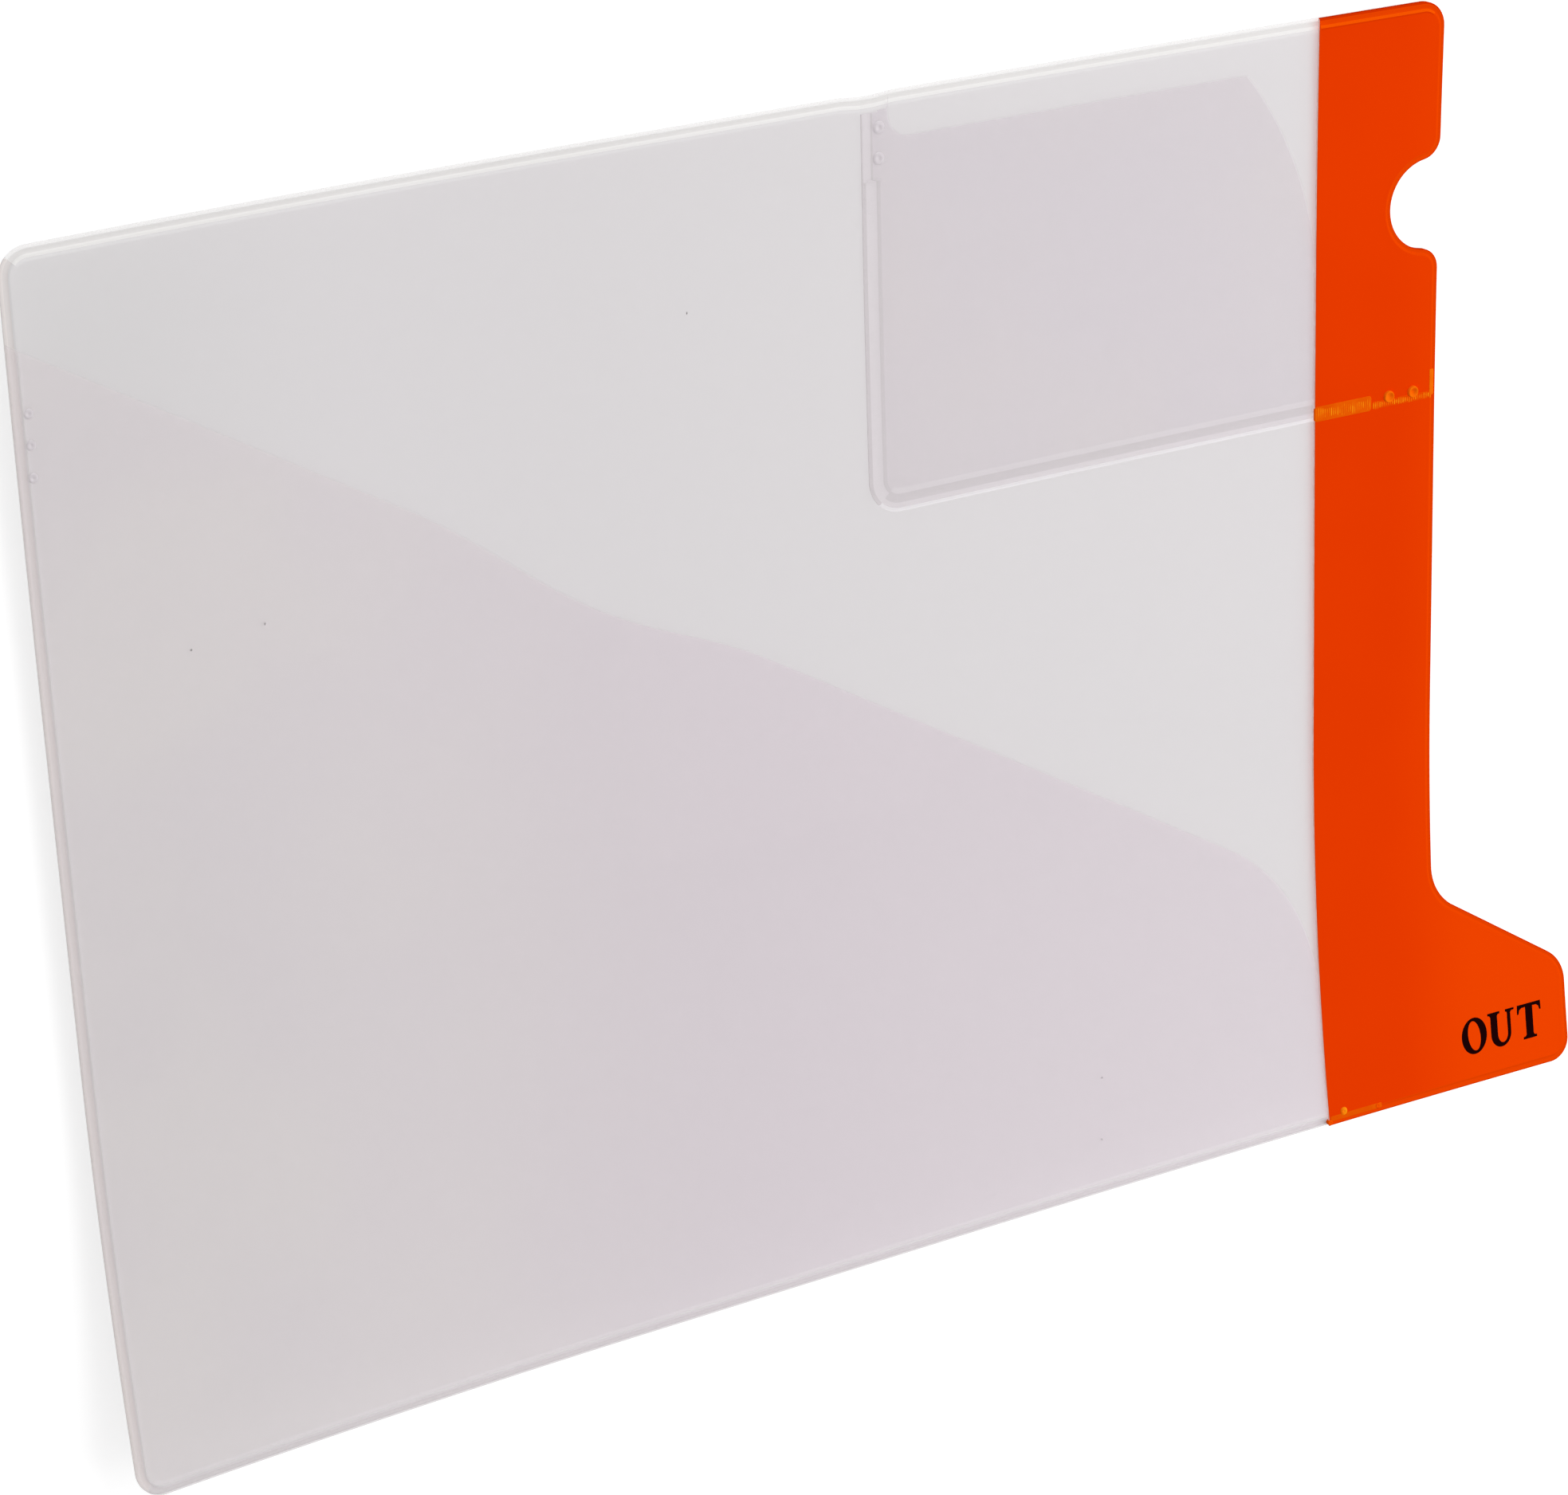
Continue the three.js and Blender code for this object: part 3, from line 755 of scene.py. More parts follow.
@dataclass
class Plate:
    """A thin plate lofted from its outline, with softened edges, laid out flat and then curled."""

    name: str
    outline: Outline
    base: float
    thickness: float
    finish: Vinyl
    node: str | None = None
    soft: float = 0.06
    grid: float = 0.0
    tones: dict[Edge, tuple[tuple[range, Vinyl], ...]] = field(default_factory=dict)

    def finish_at(self, edge: Edge, level: int) -> Vinyl:
        """The finish of one ring of faces along an edge.

        Args:
            edge: The edge's finish.
            level: The ring's number.

        Returns:
            The ring's own finish, or else the plate's.
        """
        for levels, finish in self.tones.get(edge, ()):
            if level in levels:
                return finish
        return self.finish

    def finishes(self) -> list[Vinyl]:
        """The plate's own finish, followed by those of its rims."""
        rims = [finish for tones in self.tones.values() for _, finish in tones]
        return list(dict.fromkeys([self.finish, *rims]))

    def section(self, edge: Edge) -> list[Point]:
        """The rim's cross-section, from the underside out to the edge and back over the face.

        Args:
            edge: The edge's finish.

        Returns:
            Depths in from the edge, with heights over the plate's underside.
        """
        top, soft = self.thickness, self.soft
        turned = [(0.0, 0.3 * soft), (0.0, top - soft), (0.3 * soft, top - 0.3 * soft), (soft, top)]
        return [(2 * soft, 0.0), *turned, (2 * soft, top)]

    def flat_mesh(self) -> bmesh.types.BMesh:
        """The flat closed plate: rings of faces round the rim, and one face over and under.

        Returns:
            The plate as a bmesh, in metres in the row frame.
        """
        sections = {edge: self.section(edge) for edge in Edge}
        stations = self.outline.stations()
        finishes = self.finishes()
        made = bmesh.new()
        layer = made.faces.layers.int.new(TONE_LAYER)
        rings = []
        for level in range(len(sections[Edge.CUT])):
            ring = []
            for station in stations:
                before, after = sections[station.arriving][level], sections[station.leaving][level]
                x, y, height = station.at(before, after)
                ring.append(made.verts.new(to_row(x, y, self.base + height)))
            rings.append(ring)
        for level, (lower, upper) in enumerate(zip(rings, rings[1:])):
            for index, corner in enumerate(lower):
                after = (index + 1) % len(lower)
                face = made.faces.new((corner, lower[after], upper[after], upper[index]))
                face[layer] = finishes.index(self.finish_at(stations[index].edge, level))
        made.faces.new(list(reversed(rings[0])))
        made.faces.new(rings[-1])
        return made

    def divide(self, made: bmesh.types.BMesh) -> None:
        """Cuts the flat plate along a square grid, so that it can follow the curl.

        Args:
            made: The flat plate.
        """
        for axis, low, length in ((0, BACK_LOW.x, OVERALL_WIDTH), (1, BACK_LOW.y, SHEET_HEIGHT)):
            for line in range(1, int(length / self.grid) + 1):
                place = Vector()
                normal = Vector()
                place[axis] = (low + line * self.grid) * MM
                normal[axis] = 1.0
                bmesh.ops.bisect_plane(made, geom=[*made.verts, *made.edges, *made.faces], dist=1e-7,
                                       plane_co=place, plane_no=normal)

    def build(self, tree: FlatPieceTree) -> bpy.types.Object:
        """Makes the curled plate with its finish.

        Args:
            tree: The tree that curls flat pieces.

        Returns:
            The plate's object.
        """
        made = self.flat_mesh()
        if self.grid:
            self.divide(made)
        mesh = bpy.data.meshes.new(self.name)
        made.to_mesh(mesh)
        made.free()
        obj = tree.apply(self.name, mesh, self.finish.material())
        for finish in self.finishes()[1:]:
            obj.data.materials.append(finish.material())
        tones = obj.data.attributes[TONE_LAYER]
        for face, tone in zip(obj.data.polygons, tones.data):
            face.material_index = tone.value
        obj.data.attributes.remove(tones)
        settle(obj, self.finish, self.node)
        return obj


@dataclass
class Sheet(Plate):
    """A sheet of the folder, whose welded rims are a lip, a trough and a bead, side by side.

    A rim that isn't dropped onto the sheet below it is lifted a little off the table. The relief scales
    how far the lip and the trough lie under the sheet's face.
    """

    relief: float = 1.0
    lip_depth: float = 0.07
    trough_depth: float = 0.17
    bead: float = 0.05
    rim_drop: float = 0.0
    rim_lift: float = 0.04
    cut_steps: int = 10
    grid: float = 6.0

    def section(self, edge: Edge) -> list[Point]:
        """The rim's cross-section, from the underside out to the edge and back over the face.

        Args:
            edge: The edge's finish.

        Returns:
            Depths in from the edge, with heights over the sheet's underside.
        """
        top, soft, width = self.thickness, self.soft, edge.value
        if edge is Edge.CUT:
            face = [(soft * step, top) for step in range(1, self.cut_steps + 1)]
            return [(0.6, 0.0), (0.3, 0.0), (soft, 0.0), (0.0, soft), (0.0, top - soft), *face]
        under = -self.rim_drop if self.rim_drop else self.rim_lift
        crest, floor = top - self.lip_depth * self.relief, top - self.trough_depth * self.relief
        return [
            (width + 1.3, 0.0),
            (width + 0.2, under),
            (soft, under),
            (0.0, under + soft),
            (0.0, floor - 0.06),
            (0.07 * width, floor + 0.01),
            (0.22 * width, crest),
            (0.38 * width, crest - 0.04 * self.relief),
            (0.52 * width, floor),
            (0.78 * width, floor),
            (0.9 * width, floor + 0.08 * self.relief),
            (width, top + 0.4 * self.bead),
            (width + 0.18, top + self.bead),
            (width + 0.5, top + 0.4 * self.bead),
            (width + 1.3, top),
        ]


@dataclass(frozen=True)
class EndProfile:
    """The shared right side of the back sheet and the strip: tab, straight edge and thumb notch."""

    tab_tip_height: float = 22.7
    tab_slope_degrees: float = 33.8
    tab_inner_radius: float = 12.0
    tab_shoulder_radius: float = 9.0
    tab_corner_radius: float = 5.0
    notch_radius: float = 9.5
    notch_depth: float = 12.0
    notch_lip_radius: float = 4.5
    notch_centre_below_top: float = 42.0
    sheet_corner_radius: float = 5.5

    def corners(self) -> tuple[Corner, ...]:
        """The corners from the tab's lower corner up to the top right corner.

        The notch's arc meets a lip's arc on the line between their centres, at a tangent to both.

        Returns:
            The corners in order.
        """
        slope = math.tan(math.radians(self.tab_slope_degrees))
        middle = SHEET_HEIGHT - self.notch_centre_below_top
        floor = SHEET_WIDTH - self.notch_depth
        centre = floor + self.notch_radius
        lip = SHEET_WIDTH - self.notch_lip_radius
        reach = self.notch_radius + self.notch_lip_radius
        lip_rise = math.sqrt(reach ** 2 - (lip - centre) ** 2)
        lean = (centre - lip) / lip_rise
        meet = centre + (lip - centre) * self.notch_radius / reach
        meet_rise = lip_rise * self.notch_radius / reach
        lip_corner = meet_rise + lean * (SHEET_WIDTH - meet)
        floor_corner = meet_rise - lean * (meet - floor)
        weld = Edge.END_WELD
        return (
            Corner(OVERALL_WIDTH, 0.0, self.tab_corner_radius, weld),
            Corner(OVERALL_WIDTH, self.tab_tip_height, self.tab_shoulder_radius, weld),
            Corner(SHEET_WIDTH, self.tab_tip_height + TAB_REACH * slope, self.tab_inner_radius, weld),
            Corner(SHEET_WIDTH, middle - lip_corner, self.notch_lip_radius, weld),
            Corner(floor, middle - floor_corner, self.notch_radius, weld),
            Corner(floor, middle + floor_corner, self.notch_radius, weld),
            Corner(SHEET_WIDTH, middle + lip_corner, self.notch_lip_radius, weld),
            Corner(SHEET_WIDTH, SHEET_HEIGHT, self.sheet_corner_radius, Edge.TOP_WELD),
        )


@dataclass
class WeldedSheets:
    """The four vinyl sheets: the back, the two pockets and the end strip."""

    end: EndProfile = field(default_factory=EndProfile)
    pocket_relief: float = 0.8
    strip_bead: float = 0.03
    rim_inset: float = 0.05
    top_sag: float = 0.4
    top_sag_places: tuple[float, ...] = (168.5, 172.3, 175.3, 179.6)
    top_sag_radius: float = 8.0
    strip_bow: Point = (0.25, 0.45)
    strip_bow_places: Point = (175.0, 75.0)
    strip_bow_radius: float = 300.0
    mouth_left_height: float = 224.7
    mouth_fall_degrees: float = 31.5
    mouth_end_radius: float = 45.0
    dip_depth: float = 4.4
    dip_centre: float = 112.0
    dip_width: float = 74.0
    dip_steps: int = 24
    diagonal_tuck_top: float = 26.0
    card_mouth_drop: float = 8.9
    card_radius: float = 7.0
    card_step_half: float = 0.15
    card_fused_end: float = 3.7
    card_tuck_below_cut: float = 5.0
    ear_width: float = 6.0
    ear_radius: float = 4.5
    thumb_cut_width: float = 17.1
    thumb_cut_height: float = 38.0
    thumb_cut_bulge: float = 2.8
    thumb_cut_steps: int = 20

    def top_height(self, x: float) -> float:
        """The top edge's height, which sags a little where the card pocket's film joins the weld.

        Args:
            x: The distance from the left edge, in millimetres.

        Returns:
            The height, in millimetres.
        """
        start, low_start, low_end, end = self.top_sag_places
        share = min((x - start) / (low_start - start), (end - x) / (end - low_end), 1.0)
        return SHEET_HEIGHT - self.top_sag * max(share, 0.0)

    def back_outline(self) -> Outline:
        """The back sheet's outline.

        Returns:
            The outline, with the sag in its top edge.
        """
        radius = self.end.sheet_corner_radius
        sag = [Corner(x, self.top_height(x), self.top_sag_radius, Edge.TOP_WELD)
               for x in reversed(self.top_sag_places)]
        return Outline((
            Corner(0.0, 0.0, radius, Edge.BOTTOM_WELD),
            *self.end.corners(),
            *sag,
            Corner(0.0, SHEET_HEIGHT, radius, Edge.SIDE_WELD),
        ))

    def strip_outline(self) -> Outline:
        """The end strip's outline.

        Returns:
            The outline, with a cut and slightly bowed edge on the left.
        """
        low, high = self.strip_bow
        bends = [Corner(STRIP_LEFT, place, self.strip_bow_radius) for place in self.strip_bow_places]
        return Outline((
            Corner(STRIP_LEFT - low, 0.0, 0.0, Edge.BOTTOM_WELD),
            *self.end.corners(),
            Corner(STRIP_LEFT - high, SHEET_HEIGHT),
            *bends,
        ))

    def mouth_height(self, x: float) -> float:
        """The diagonal mouth's height.

        Args:
            x: The distance from the left edge, in millimetres.

        Returns:
            The height, in millimetres.
        """
        phase = (x - self.dip_centre) / self.dip_width
        dip = self.dip_depth * math.cos(math.pi * phase) ** 2 if abs(phase) < 0.5 else 0.0
        return self.mouth_left_height - x * math.tan(math.radians(self.mouth_fall_degrees)) - dip

    def diagonal_outline(self) -> Outline:
        """The wide pocket's outline.

        Returns:
            The outline, with its dipped diagonal mouth.
        """
        edge_x = STRIP_LEFT + LAYER_GAP
        inset = self.rim_inset
        mouth = []
        for step in range(self.dip_steps, -1, -1):
            x = self.dip_centre + self.dip_width * (step / self.dip_steps - 0.5)
            mouth.append(Corner(x, self.mouth_height(x)))
        return Outline((
            Corner(inset, inset, self.end.sheet_corner_radius, Edge.BOTTOM_WELD),
            Corner(TUCK_RIGHT, inset),
            Corner(TUCK_RIGHT, self.diagonal_tuck_top),
            Corner(edge_x, self.diagonal_tuck_top),
            Corner(edge_x, self.mouth_height(edge_x), self.mouth_end_radius),
            *mouth,
            Corner(inset, self.mouth_height(inset), 0.0, Edge.SIDE_WELD),
        ))

    def card_outline(self) -> Outline:
        """The card pocket's outline.

        Returns:
            The outline, with its ear at the top left and its thumb cut at the right.
        """
        mouth = SHEET_HEIGHT - self.card_mouth_drop
        edge_x, cut_low = STRIP_LEFT + LAYER_GAP, mouth - self.thumb_cut_height
        chord = Vector((-self.thumb_cut_width, self.thumb_cut_height))
        outward = Vector((chord.y, -chord.x)).normalized()
        cut = []
        for step in range(self.thumb_cut_steps + 1):
            share = step / self.thumb_cut_steps
            bulge = outward * self.thumb_cut_bulge * 4 * share * (1 - share)
            place = Vector((edge_x, cut_low)) + chord * share + bulge
            cut.append(Corner(place.x, place.y))
        ear_x = CARD_LEFT + self.ear_width
        tuck_top = cut_low - self.card_tuck_below_cut
        return Outline((
            Corner(CARD_LEFT, CARD_FLOOR, self.card_radius, Edge.CARD_FLOOR_WELD),
            Corner(TUCK_RIGHT, CARD_FLOOR),
            Corner(TUCK_RIGHT, tuck_top),
            Corner(edge_x, tuck_top),
            *cut,
            Corner(ear_x, mouth, self.ear_radius),
            Corner(ear_x, self.top_height(ear_x) - self.rim_inset, 0.0, Edge.TOP_WELD),
            Corner(CARD_LEFT, self.top_height(CARD_LEFT) - self.rim_inset, 0.0, Edge.CARD_END_WELD),
            Corner(CARD_LEFT, SHEET_HEIGHT - self.card_fused_end, 0.0, Edge.CARD_TOP_WELD),
            Corner(CARD_LEFT, CARD_STEP + self.card_step_half, 0.0, Edge.CARD_TOP_WELD),
            Corner(CARD_LEFT, CARD_STEP - self.card_step_half, 0.0, Edge.CARD_WELD),
        ))

    def build(self, tree: FlatPieceTree) -> None:
        """Makes the four sheets.

        Args:
            tree: The tree that curls flat pieces.
        """
        Sheet("back_sheet_film", self.back_outline(), 0.0, BACK_THICKNESS, FROSTED, "back_sheet",
              tones=BACK_TONES).build(tree)
        pockets = (
            ("diagonal_pocket", self.diagonal_outline(), CLEAR, DIAGONAL_TONES),
            ("card_pocket", self.card_outline(), CLEAR_CARD, CARD_TONES),
        )
        for node, outline, finish, tones in pockets:
            Sheet(f"{node}_film", outline, PANEL_BASE, PANEL_THICKNESS, finish, node,
                  relief=self.pocket_relief, rim_drop=LAYER_GAP - REST_GAP, tones=tones).build(tree)
        Sheet("tab_strip_film", self.strip_outline(), STRIP_BASE, STRIP_THICKNESS, ORANGE, "tab_strip",
              bead=self.strip_bead, rim_drop=STRIP_BASE - BACK_THICKNESS - REST_GAP,
              tones=STRIP_TONES).build(tree)


def rounded_box(left: float, low: float, right: float, high: float, radius: float) -> Outline:
    """An upright rectangle with rounded corners, in millimetres."""
    places = ((left, low), (right, low), (right, high), (left, high))
    return Outline(tuple(Corner(x, y, radius) for x, y in places), arc_spacing=0.15, clearance=0.2)


def flat_points(name: str, places: tuple[Point, ...], height: float,
                joined: bool = False) -> bpy.types.Mesh:
    """Loose points on the flat folder, or a line through them.

    Args:
        name: The mesh's name.
        places: The points, in millimetres.
        height: Their height over the table before the curl, in millimetres.
        joined: Whether an edge joins each point to the next.

    Returns:
        The mesh, in metres in the row frame.
    """
    mesh = bpy.data.meshes.new(name)
    edges = [(index, index + 1) for index in range(len(places) - 1)] if joined else []
    mesh.from_pydata([to_row(x, y, height) for x, y in places], edges, [])
    return mesh


@dataclass(frozen=True)
class FusedBand:
    """A fused band on the strip, which is sunk into it and stands a little proud."""

    name: str
    left: float
    low: float
    right: float
    high: float
    corner_radius: float
    proud: float
    finish: Vinyl
    sunk: float = 0.24
    soft: float = 0.14

    def build(self, tree: FlatPieceTree) -> None:
        """Makes the band.

        Args:
            tree: The tree that curls flat pieces.
        """
        outline = rounded_box(self.left, self.low, self.right, self.high, self.corner_radius)
        depth = self.sunk + self.proud
        Plate(self.name, outline, STRIP_TOP - self.sunk, depth, self.finish, soft=self.soft).build(tree)


@dataclass(frozen=True)
class KnurlRow:
    """A row of ridges across a fused band, as the knurled bar pressed them."""

    name: str
    left: float
    right: float
    middle: float
    length: float
    proud: float
    pitch: float = 0.52
    width: float = 0.28
    height: float = 0.12
    sunk: float = 0.02

    def build(self, tree: KnurlTree) -> None:
        """Makes the row.

        Args:
            tree: The tree that makes ridges.
        """
        ends = ((self.left, self.middle), (self.right, self.middle))
        line = flat_points(self.name, ends, STRIP_TOP + self.proud - self.sunk, joined=True)
        sizes = {"Pitch": self.pitch, "Ridge Width": self.width, "Ridge Length": self.length,
                 "Ridge Height": self.height}
        lay(tree, self.name, line, ORANGE_CREST, sizes)


@dataclass(frozen=True)
class PinMarks:
    """Round marks of one kind of welding pin, each a dish inside a crest."""

    name: str
    places: tuple[Point, ...]
    radius: float
    crest_height: float
    crest_share: float
    steepness: float
    finish: Vinyl
    base: float = STRIP_TOP
    sunk: float = 0.03

    def sizes(self) -> dict[str, float]:
        """The stamp tree's inputs, which put the profile's peak at the crest's share of the radius.

        Returns:
            The inputs by name.
        """
        inner = self.steepness * self.crest_share / (1.0 - self.crest_share)
        peak = self.crest_share ** inner * (1.0 - self.crest_share) ** self.steepness
        return {"Stamp Radius": self.radius, "Crest Height": self.crest_height / peak, "Sunk": self.sunk,
                "Inner Power": inner, "Outer Power": self.steepness}

    def build(self, tree: StampTree) -> None:
        """Makes the marks.

        Args:
            tree: The tree that makes round stamps.
        """
        lay(tree, self.name, flat_points(self.name, self.places, self.base), self.finish, self.sizes())


@dataclass
class StripWelds:
    """The fused bands over the strip, where the pockets' welds run on under it, and their studs."""

    bands: tuple[FusedBand, ...] = (
        FusedBand("strip_weld_wide", left=STRIP_LEFT - 0.1, low=CARD_FLOOR, right=TUCK_RIGHT + 0.4,
                  high=CARD_FLOOR + 3.3, corner_radius=0.7, proud=WIDE_PROUD, finish=ORANGE_WELD),
        FusedBand("strip_weld_narrow", left=TUCK_RIGHT + 0.55, low=CARD_FLOOR + 0.1,
                  right=SHEET_WIDTH - 1.0, high=CARD_FLOOR + 1.8, corner_radius=0.5,
                  proud=NARROW_PROUD, finish=ORANGE_SOFT_WELD),
        FusedBand("strip_weld_bar", left=SHEET_WIDTH - 1.6, low=CARD_FLOOR + 0.8,
                  right=SHEET_WIDTH - 0.55, high=CARD_FLOOR + 6.4, corner_radius=0.3,
                  proud=WIDE_PROUD, finish=ORANGE_RIDGE),
        FusedBand("strip_weld_foot", left=STRIP_LEFT + 0.1, low=0.85, right=TUCK_RIGHT, high=2.1,
                  corner_radius=0.4, proud=0.052, finish=ORANGE_WELD),
    )
    ridges: tuple[KnurlRow, ...] = (
        KnurlRow("strip_ridges_wide", left=STRIP_LEFT + 0.4, right=TUCK_RIGHT - 0.1,
                 middle=CARD_FLOOR + 1.65, length=3.3, proud=WIDE_PROUD),
        KnurlRow("strip_ridges_narrow", left=TUCK_RIGHT + 0.95, right=SHEET_WIDTH - 1.3,
                 middle=CARD_FLOOR + 0.95, length=1.8, proud=NARROW_PROUD),
    )
    studs: tuple[PinMarks, ...] = (
        PinMarks("strip_studs", ((295.7, 159.8), (301.7, 159.8)), radius=1.3, crest_height=0.55,
                 crest_share=0.8, steepness=0.6, finish=ORANGE_RIDGE),
        PinMarks("strip_foot_stud", ((281.0, 2.5),), radius=0.9, crest_height=0.25,
                 crest_share=0.6, steepness=0.6, finish=ORANGE_CREST),
        PinMarks("strip_foot_beads", ((277.3, 0.75), (289.9, 1.5)), radius=0.6, crest_height=0.16,
                 crest_share=0.6, steepness=0.6, finish=ORANGE_BEAD_AND_HIGHLIGHT, sunk=STRIP_TOP - PANEL_TOP),
    )

    def build(self, curl: FlatPieceTree, knurl: KnurlTree, stamp: StampTree) -> None:
        """Makes the bands, their ridges and the round studs and beads.

        Args:
            curl: The tree that curls flat pieces.
            knurl: The tree that makes ridges.
            stamp: The tree that makes round stamps.
        """
        for band in self.bands:
            band.build(curl)
        for row in self.ridges:
            row.build(knurl)
        for stud in self.studs:
            stud.build(stamp)


@dataclass
class FilmMarks:
    """The small marks on the films: pins' dishes, a painted highlight on the card weld's step, and dust."""

    pins: tuple[PinMarks, ...] = (
        PinMarks("card_pin_marks", ((176.2, 234.6), (176.1, 228.6)), radius=1.3, crest_height=0.208,
                 crest_share=0.6, steepness=1.2, finish=STAMPED, base=PANEL_TOP),
        PinMarks("side_pin_marks", ((3.0, 211.7), (2.9, 206.0), (2.7, 200.1)), radius=0.95,
                 crest_height=0.152, crest_share=0.6, steepness=1.2, finish=STAMPED, base=PANEL_TOP),
    )
    # Where the painted highlight at the card weld's step lies, and its size
    glint_left: float = CARD_LEFT + 0.8
    glint_right: float = CARD_LEFT + 4.1
    glint_width: float = 0.24
    glint_corner_radius: float = 0.1
    glint_thickness: float = 0.1
    glint_sunk: float = 0.05
    glint_soft: float = 0.03
    flake_width: float = 0.42
    flake_height: float = 0.05
    dust_on_back: tuple[Point, ...] = ((134.2, 205.5),)
    dust_on_pocket: tuple[Point, ...] = ((44.2, 163.6), (29.4, 162.0), (220.3, 11.6), (221.6, 25.0))

    def build(self, curl: FlatPieceTree, stamp: StampTree, specks: SpeckTree) -> None:
        """Makes the pin marks, the painted highlight at the card weld's step, and the dust.

        Args:
            curl: The tree that curls flat pieces.
            stamp: The tree that makes round stamps.
            specks: The tree that makes flakes.
        """
        for marks in self.pins:
            marks.build(stamp)
        # A thin pale bar along the step in the card pocket's weld: a painted highlight
        half = self.glint_width / 2
        lip = rounded_box(self.glint_left, CARD_STEP - half, self.glint_right, CARD_STEP + half,
                          self.glint_corner_radius)
        Plate("card_step_painted_highlight", lip, PANEL_TOP - self.glint_sunk, self.glint_thickness, CLEAR_BEAD_HIGHLIGHT,
              soft=self.glint_soft).build(curl)
        sizes = {"Flake Width": self.flake_width, "Flake Height": self.flake_height}
        layers = (("dust_on_back", self.dust_on_back, BACK_THICKNESS),
                  ("dust_on_pocket", self.dust_on_pocket, PANEL_TOP))
        for name, places, height in layers:
            lay(specks, name, flat_points(name, places, height), DUST, sizes)


@dataclass
class TabPrint:
    """The plain word on the tab that says the file is out, in bold letters with serifs."""

    left: float = 313.15
    baseline: float = 6.82
    cap_height: float = 8.1
    second_letter: float = 7.1
    third_letter: float = 15.0
    lift: float = 0.03
    oval_steps: int = 48
    bowl_steps: int = 24

    def _ellipse(self, centre: Point, half: Point, steps: int, lean_degrees: float = 0.0,
                 start: float = 0.0, end: float = 360.0) -> list[Point]:
        """Points along an ellipse or a part of one, leant over by an angle.

        Args:
            centre: Its centre.
            half: Half its width and half its height.
            steps: How many steps it is divided into.
            lean_degrees: How far it leans over to the left.
            start: The angle where it starts, in degrees.
            end: The angle where it ends, in degrees.

        Returns:
            The points in order.
        """
        lean = math.radians(lean_degrees)
        closed = end - start >= 360.0
        points = []
        for step in range(steps if closed else steps + 1):
            angle = math.radians(start + (end - start) * step / steps)
            x, y = half[0] * math.cos(angle), half[1] * math.sin(angle)
            points.append((centre[0] + x * math.cos(lean) - y * math.sin(lean),
                           centre[1] + x * math.sin(lean) + y * math.cos(lean)))
        return points

    def letter_o(self) -> list[list[Point]]:
        """The round letter.

        Returns:
            Its loops: a full oval, and a narrower one that leans inside it.
        """
        middle = (3.35, self.cap_height / 2)
        half_height = self.cap_height / 2 + 0.1
        return [self._ellipse(middle, (3.35, half_height), self.oval_steps),
                self._ellipse(middle, (1.62, half_height - 0.72), self.oval_steps, 7.0)]

    def letter_u(self) -> list[list[Point]]:
        """The letter with a thick and a thin stem over a bowl.

        Returns:
            Its one loop.
        """
        top = self.cap_height
        bowl = 2.9
        outer = self._ellipse((3.42, bowl), (2.68, bowl + 0.12), self.bowl_steps, start=180.0)
        inner = self._ellipse((3.88, bowl), (1.34, bowl - 0.8), self.bowl_steps, start=360.0, end=180.0)
        left = [(2.54, top - 1.0), (2.75, top - 0.62), (3.25, top - 0.5), (3.25, top), (0.0, top),
                (0.0, top - 0.5), (0.45, top - 0.62), (0.74, top - 1.0)]
        right = [(6.1, top - 0.9), (6.35, top - 0.55), (7.1, top - 0.45), (7.1, top), (4.75, top),
                 (4.75, top - 0.5), (5.1, top - 0.62), (5.22, top - 0.95)]
        return [[*outer, *right, *inner, *left]]

    def letter_t(self) -> list[list[Point]]:
        """The letter with a barred top, hanging serifs and a foot.

        Returns:
            Its one loop.
        """
        top, bar, middle = self.cap_height, self.cap_height - 0.72, 3.2
        half = [(1.8, 0.0), (1.8, 0.5), (1.2, 0.65), (0.96, 1.0), (0.96, bar), (1.95, bar - 0.05),
                (2.55, bar - 0.45), (2.82, bar - 1.35), (3.2, bar - 1.35), (3.12, top)]
        right = [(middle + x, y) for x, y in half]
        left = [(middle - x, y) for x, y in reversed(half)]
        return [[*right, *left]]

    def build(self, curl: FlatPieceTree) -> None:
        """Prints the letters.

        Args:
            curl: The tree that curls flat pieces.
        """
        letters = (("tab_letter_o", 0.0, self.letter_o()),
                   ("tab_letter_u", self.second_letter, self.letter_u()),
                   ("tab_letter_t", self.third_letter, self.letter_t()))
        for name, across, loops in letters:
            made = bmesh.new()
            for loop in loops:
                places = [to_row(self.left + across + x, self.baseline + y, STRIP_TOP) for x, y in loop]
                verts = [made.verts.new(place) for place in places]
                for index, vert in enumerate(verts):
                    made.edges.new((vert, verts[(index + 1) % len(verts)]))
            filled = bmesh.ops.triangle_fill(made, use_beauty=True, edges=made.edges[:],
                                             normal=(0.0, 0.0, 1.0))
            faces = [item for item in filled["geom"] if isinstance(item, bmesh.types.BMFace)]
            raised = bmesh.ops.extrude_face_region(made, geom=faces)
            tops = [item for item in raised["geom"] if isinstance(item, bmesh.types.BMVert)]
            bmesh.ops.translate(made, vec=(0.0, 0.0, self.lift * MM), verts=tops)
            bmesh.ops.recalc_face_normals(made, faces=made.faces[:])
            mesh = bpy.data.meshes.new(name)
            made.to_mesh(mesh)
            made.free()
            lay(curl, name, mesh, INK)


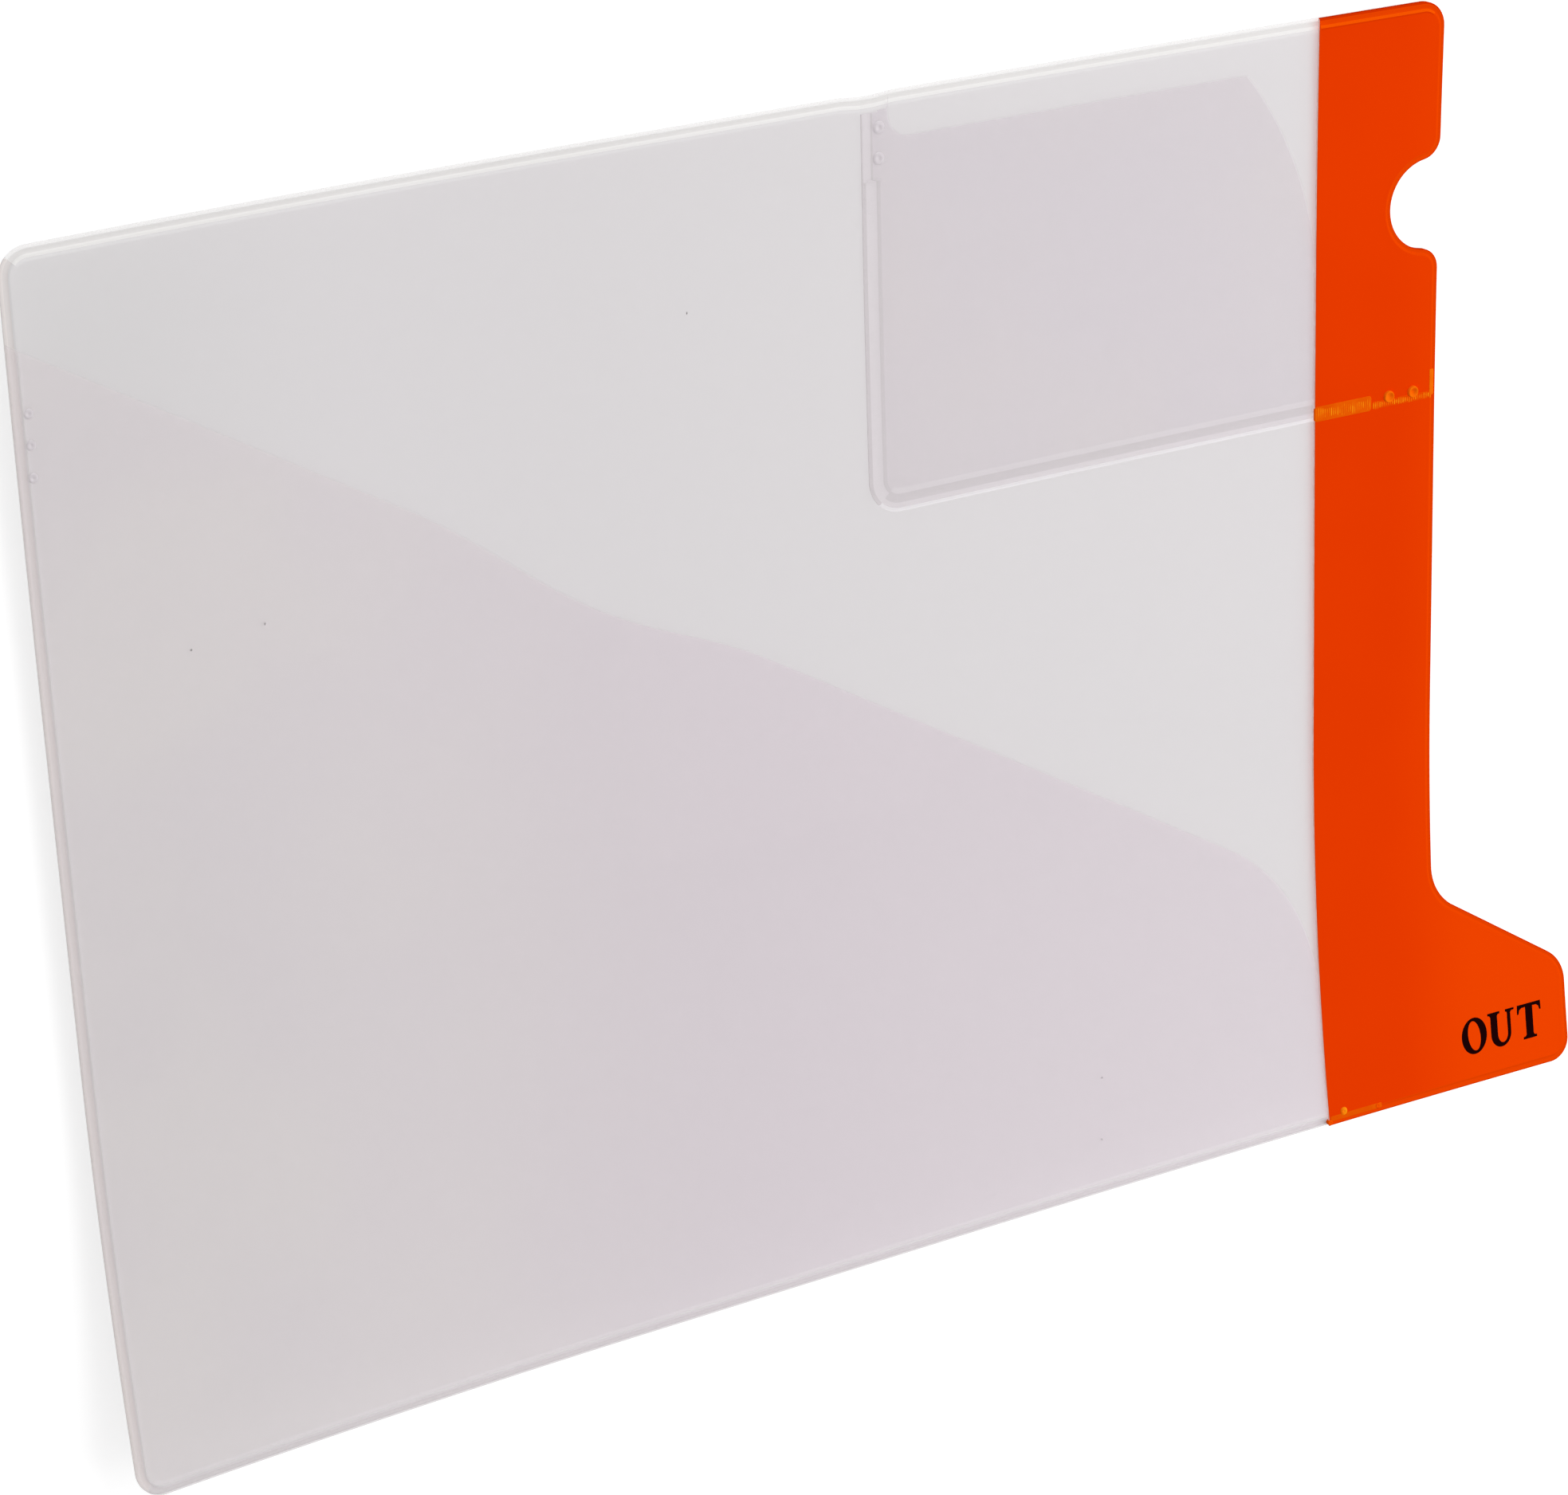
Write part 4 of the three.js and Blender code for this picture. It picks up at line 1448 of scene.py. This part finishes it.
@dataclass(frozen=True)
class Studio:
    """The pale floor, the soft light and the camera, in metres where a name doesn't say millimetres."""

    floor_size: float = 6.0
    floor_drop_mm: float = 0.2
    floor_colour: str = "#c8c8c8"
    floor_glow: float = 0.62
    fill_strength: float = 0.52
    key_place: Place = (0.45, 1.0, 1.1)
    key_size: float = 0.8
    key_power: float = 9.3
    side_place: Place = (0.85, -0.2, 0.75)
    side_size: float = 0.8
    side_power: float = 4.8
    camera_place_mm: Place = (-409.25, 309.75, 705.34)
    aim_mm: Place = (-19.27, -6.58, 0.0)
    camera_up: Place = (0.21415, 0.93001, -0.29869)
    lens_mm: float = 101.402
    sensor_mm: float = 36.0

    def build_camera(self) -> None:
        """Puts the camera where a fit to the photo's edges places it."""
        data = bpy.data.cameras.new("camera")
        data.lens = self.lens_mm
        data.sensor_width = self.sensor_mm
        data.sensor_fit = "HORIZONTAL"
        camera = bpy.data.objects.new("camera", data)
        bpy.context.scene.collection.objects.link(camera)
        back = (Vector(self.camera_place_mm) - Vector(self.aim_mm)).normalized()
        right = Vector(self.camera_up).cross(back).normalized()
        turn = Matrix((right, back.cross(right), back)).transposed().to_4x4()
        camera.matrix_world = Matrix.Translation(Vector(self.camera_place_mm) * MM) @ turn
        bpy.context.scene.camera = camera

    def build_floor(self) -> None:
        """Lays the pale floor just under the folder.

        It shows white to the camera, in reflections and through clear pieces, but still takes a shadow.
        """
        half = self.floor_size / 2
        mesh = bpy.data.meshes.new("floor")
        places = [(-half, -half, 0.0), (half, -half, 0.0), (half, half, 0.0), (-half, half, 0.0)]
        mesh.from_pydata(places, [], [(0, 1, 2, 3)])
        floor = bpy.data.objects.new("floor", mesh)
        floor.location.z = -self.floor_drop_mm * MM
        bpy.context.scene.collection.objects.link(floor)
        material = bpy.data.materials.new("pale_floor")
        material.use_nodes = True
        tree = material.node_tree
        tree.nodes.remove(tree.nodes["Principled BSDF"])
        path = add_node(tree, "ShaderNodeLightPath").outputs
        seen = path["Is Camera Ray"]
        for ray in ("Is Glossy Ray", "Is Transmission Ray"):
            seen = add_node(tree, "ShaderNodeMath", {0: seen, 1: path[ray]}, operation="MAXIMUM")
        strength = add_node(tree, "ShaderNodeMath", {0: seen, 1: self.floor_glow}, operation="MULTIPLY")
        glow = add_node(tree, "ShaderNodeEmission", {"Strength": strength})
        matt = add_node(tree, "ShaderNodeBsdfDiffuse", {"Color": linear(self.floor_colour)})
        total = add_node(tree, "ShaderNodeAddShader", {0: matt, 1: glow})
        tree.links.new(total.outputs[0], tree.nodes["Material Output"].inputs["Surface"])
        mesh.materials.append(material)

    def build_world(self) -> None:
        """Fills the surroundings with an even light, white where the camera looks past the floor."""
        world = bpy.data.worlds.new("surroundings")
        world.use_nodes = True
        tree = world.node_tree
        path = add_node(tree, "ShaderNodeLightPath")
        strength = add_node(tree, "ShaderNodeMapRange",
                            {0: path.outputs["Is Camera Ray"], 3: self.fill_strength, 4: 1.0})
        background = tree.nodes["Background"]
        tree.links.new(strength.outputs[0], background.inputs["Strength"])
        background.inputs["Color"].default_value = (1.0, 1.0, 1.0, 1.0)
        bpy.context.scene.world = world

    def hang_softbox(self, name: str, place: Place, size: float, power: float) -> None:
        """Hangs one square soft lamp, facing the folder.

        Args:
            name: The lamp's name.
            place: Where it hangs, in metres.
            size: Its side, in metres.
            power: Its power, in watts.
        """
        data = bpy.data.lights.new(name, "AREA")
        data.size = size
        data.energy = power
        lamp = bpy.data.objects.new(name, data)
        lamp.location = place
        lamp.rotation_mode = "QUATERNION"
        lamp.rotation_quaternion = (-Vector(place)).to_track_quat("-Z", "Y")
        bpy.context.scene.collection.objects.link(lamp)

    def build(self) -> None:
        """Makes the floor, the surroundings, the two lamps and the camera."""
        self.build_floor()
        self.build_world()
        self.hang_softbox("key_softbox", self.key_place, self.key_size, self.key_power)
        self.hang_softbox("side_softbox", self.side_place, self.side_size, self.side_power)
        self.build_camera()
        bpy.context.scene.view_settings.view_transform = "Standard"


def main() -> None:
    """Builds the studio and the folder, class by class."""
    logging.basicConfig(level=logging.INFO, format="%(name)s: %(message)s")
    Studio().build()
    curl, knurl, stamp = FlatPieceTree(), KnurlTree(), StampTree()
    WeldedSheets().build(curl)
    StripWelds().build(curl, knurl, stamp)
    FilmMarks().build(curl, stamp, SpeckTree())
    TabPrint().build(curl)


if __name__ == "__main__":
    main()
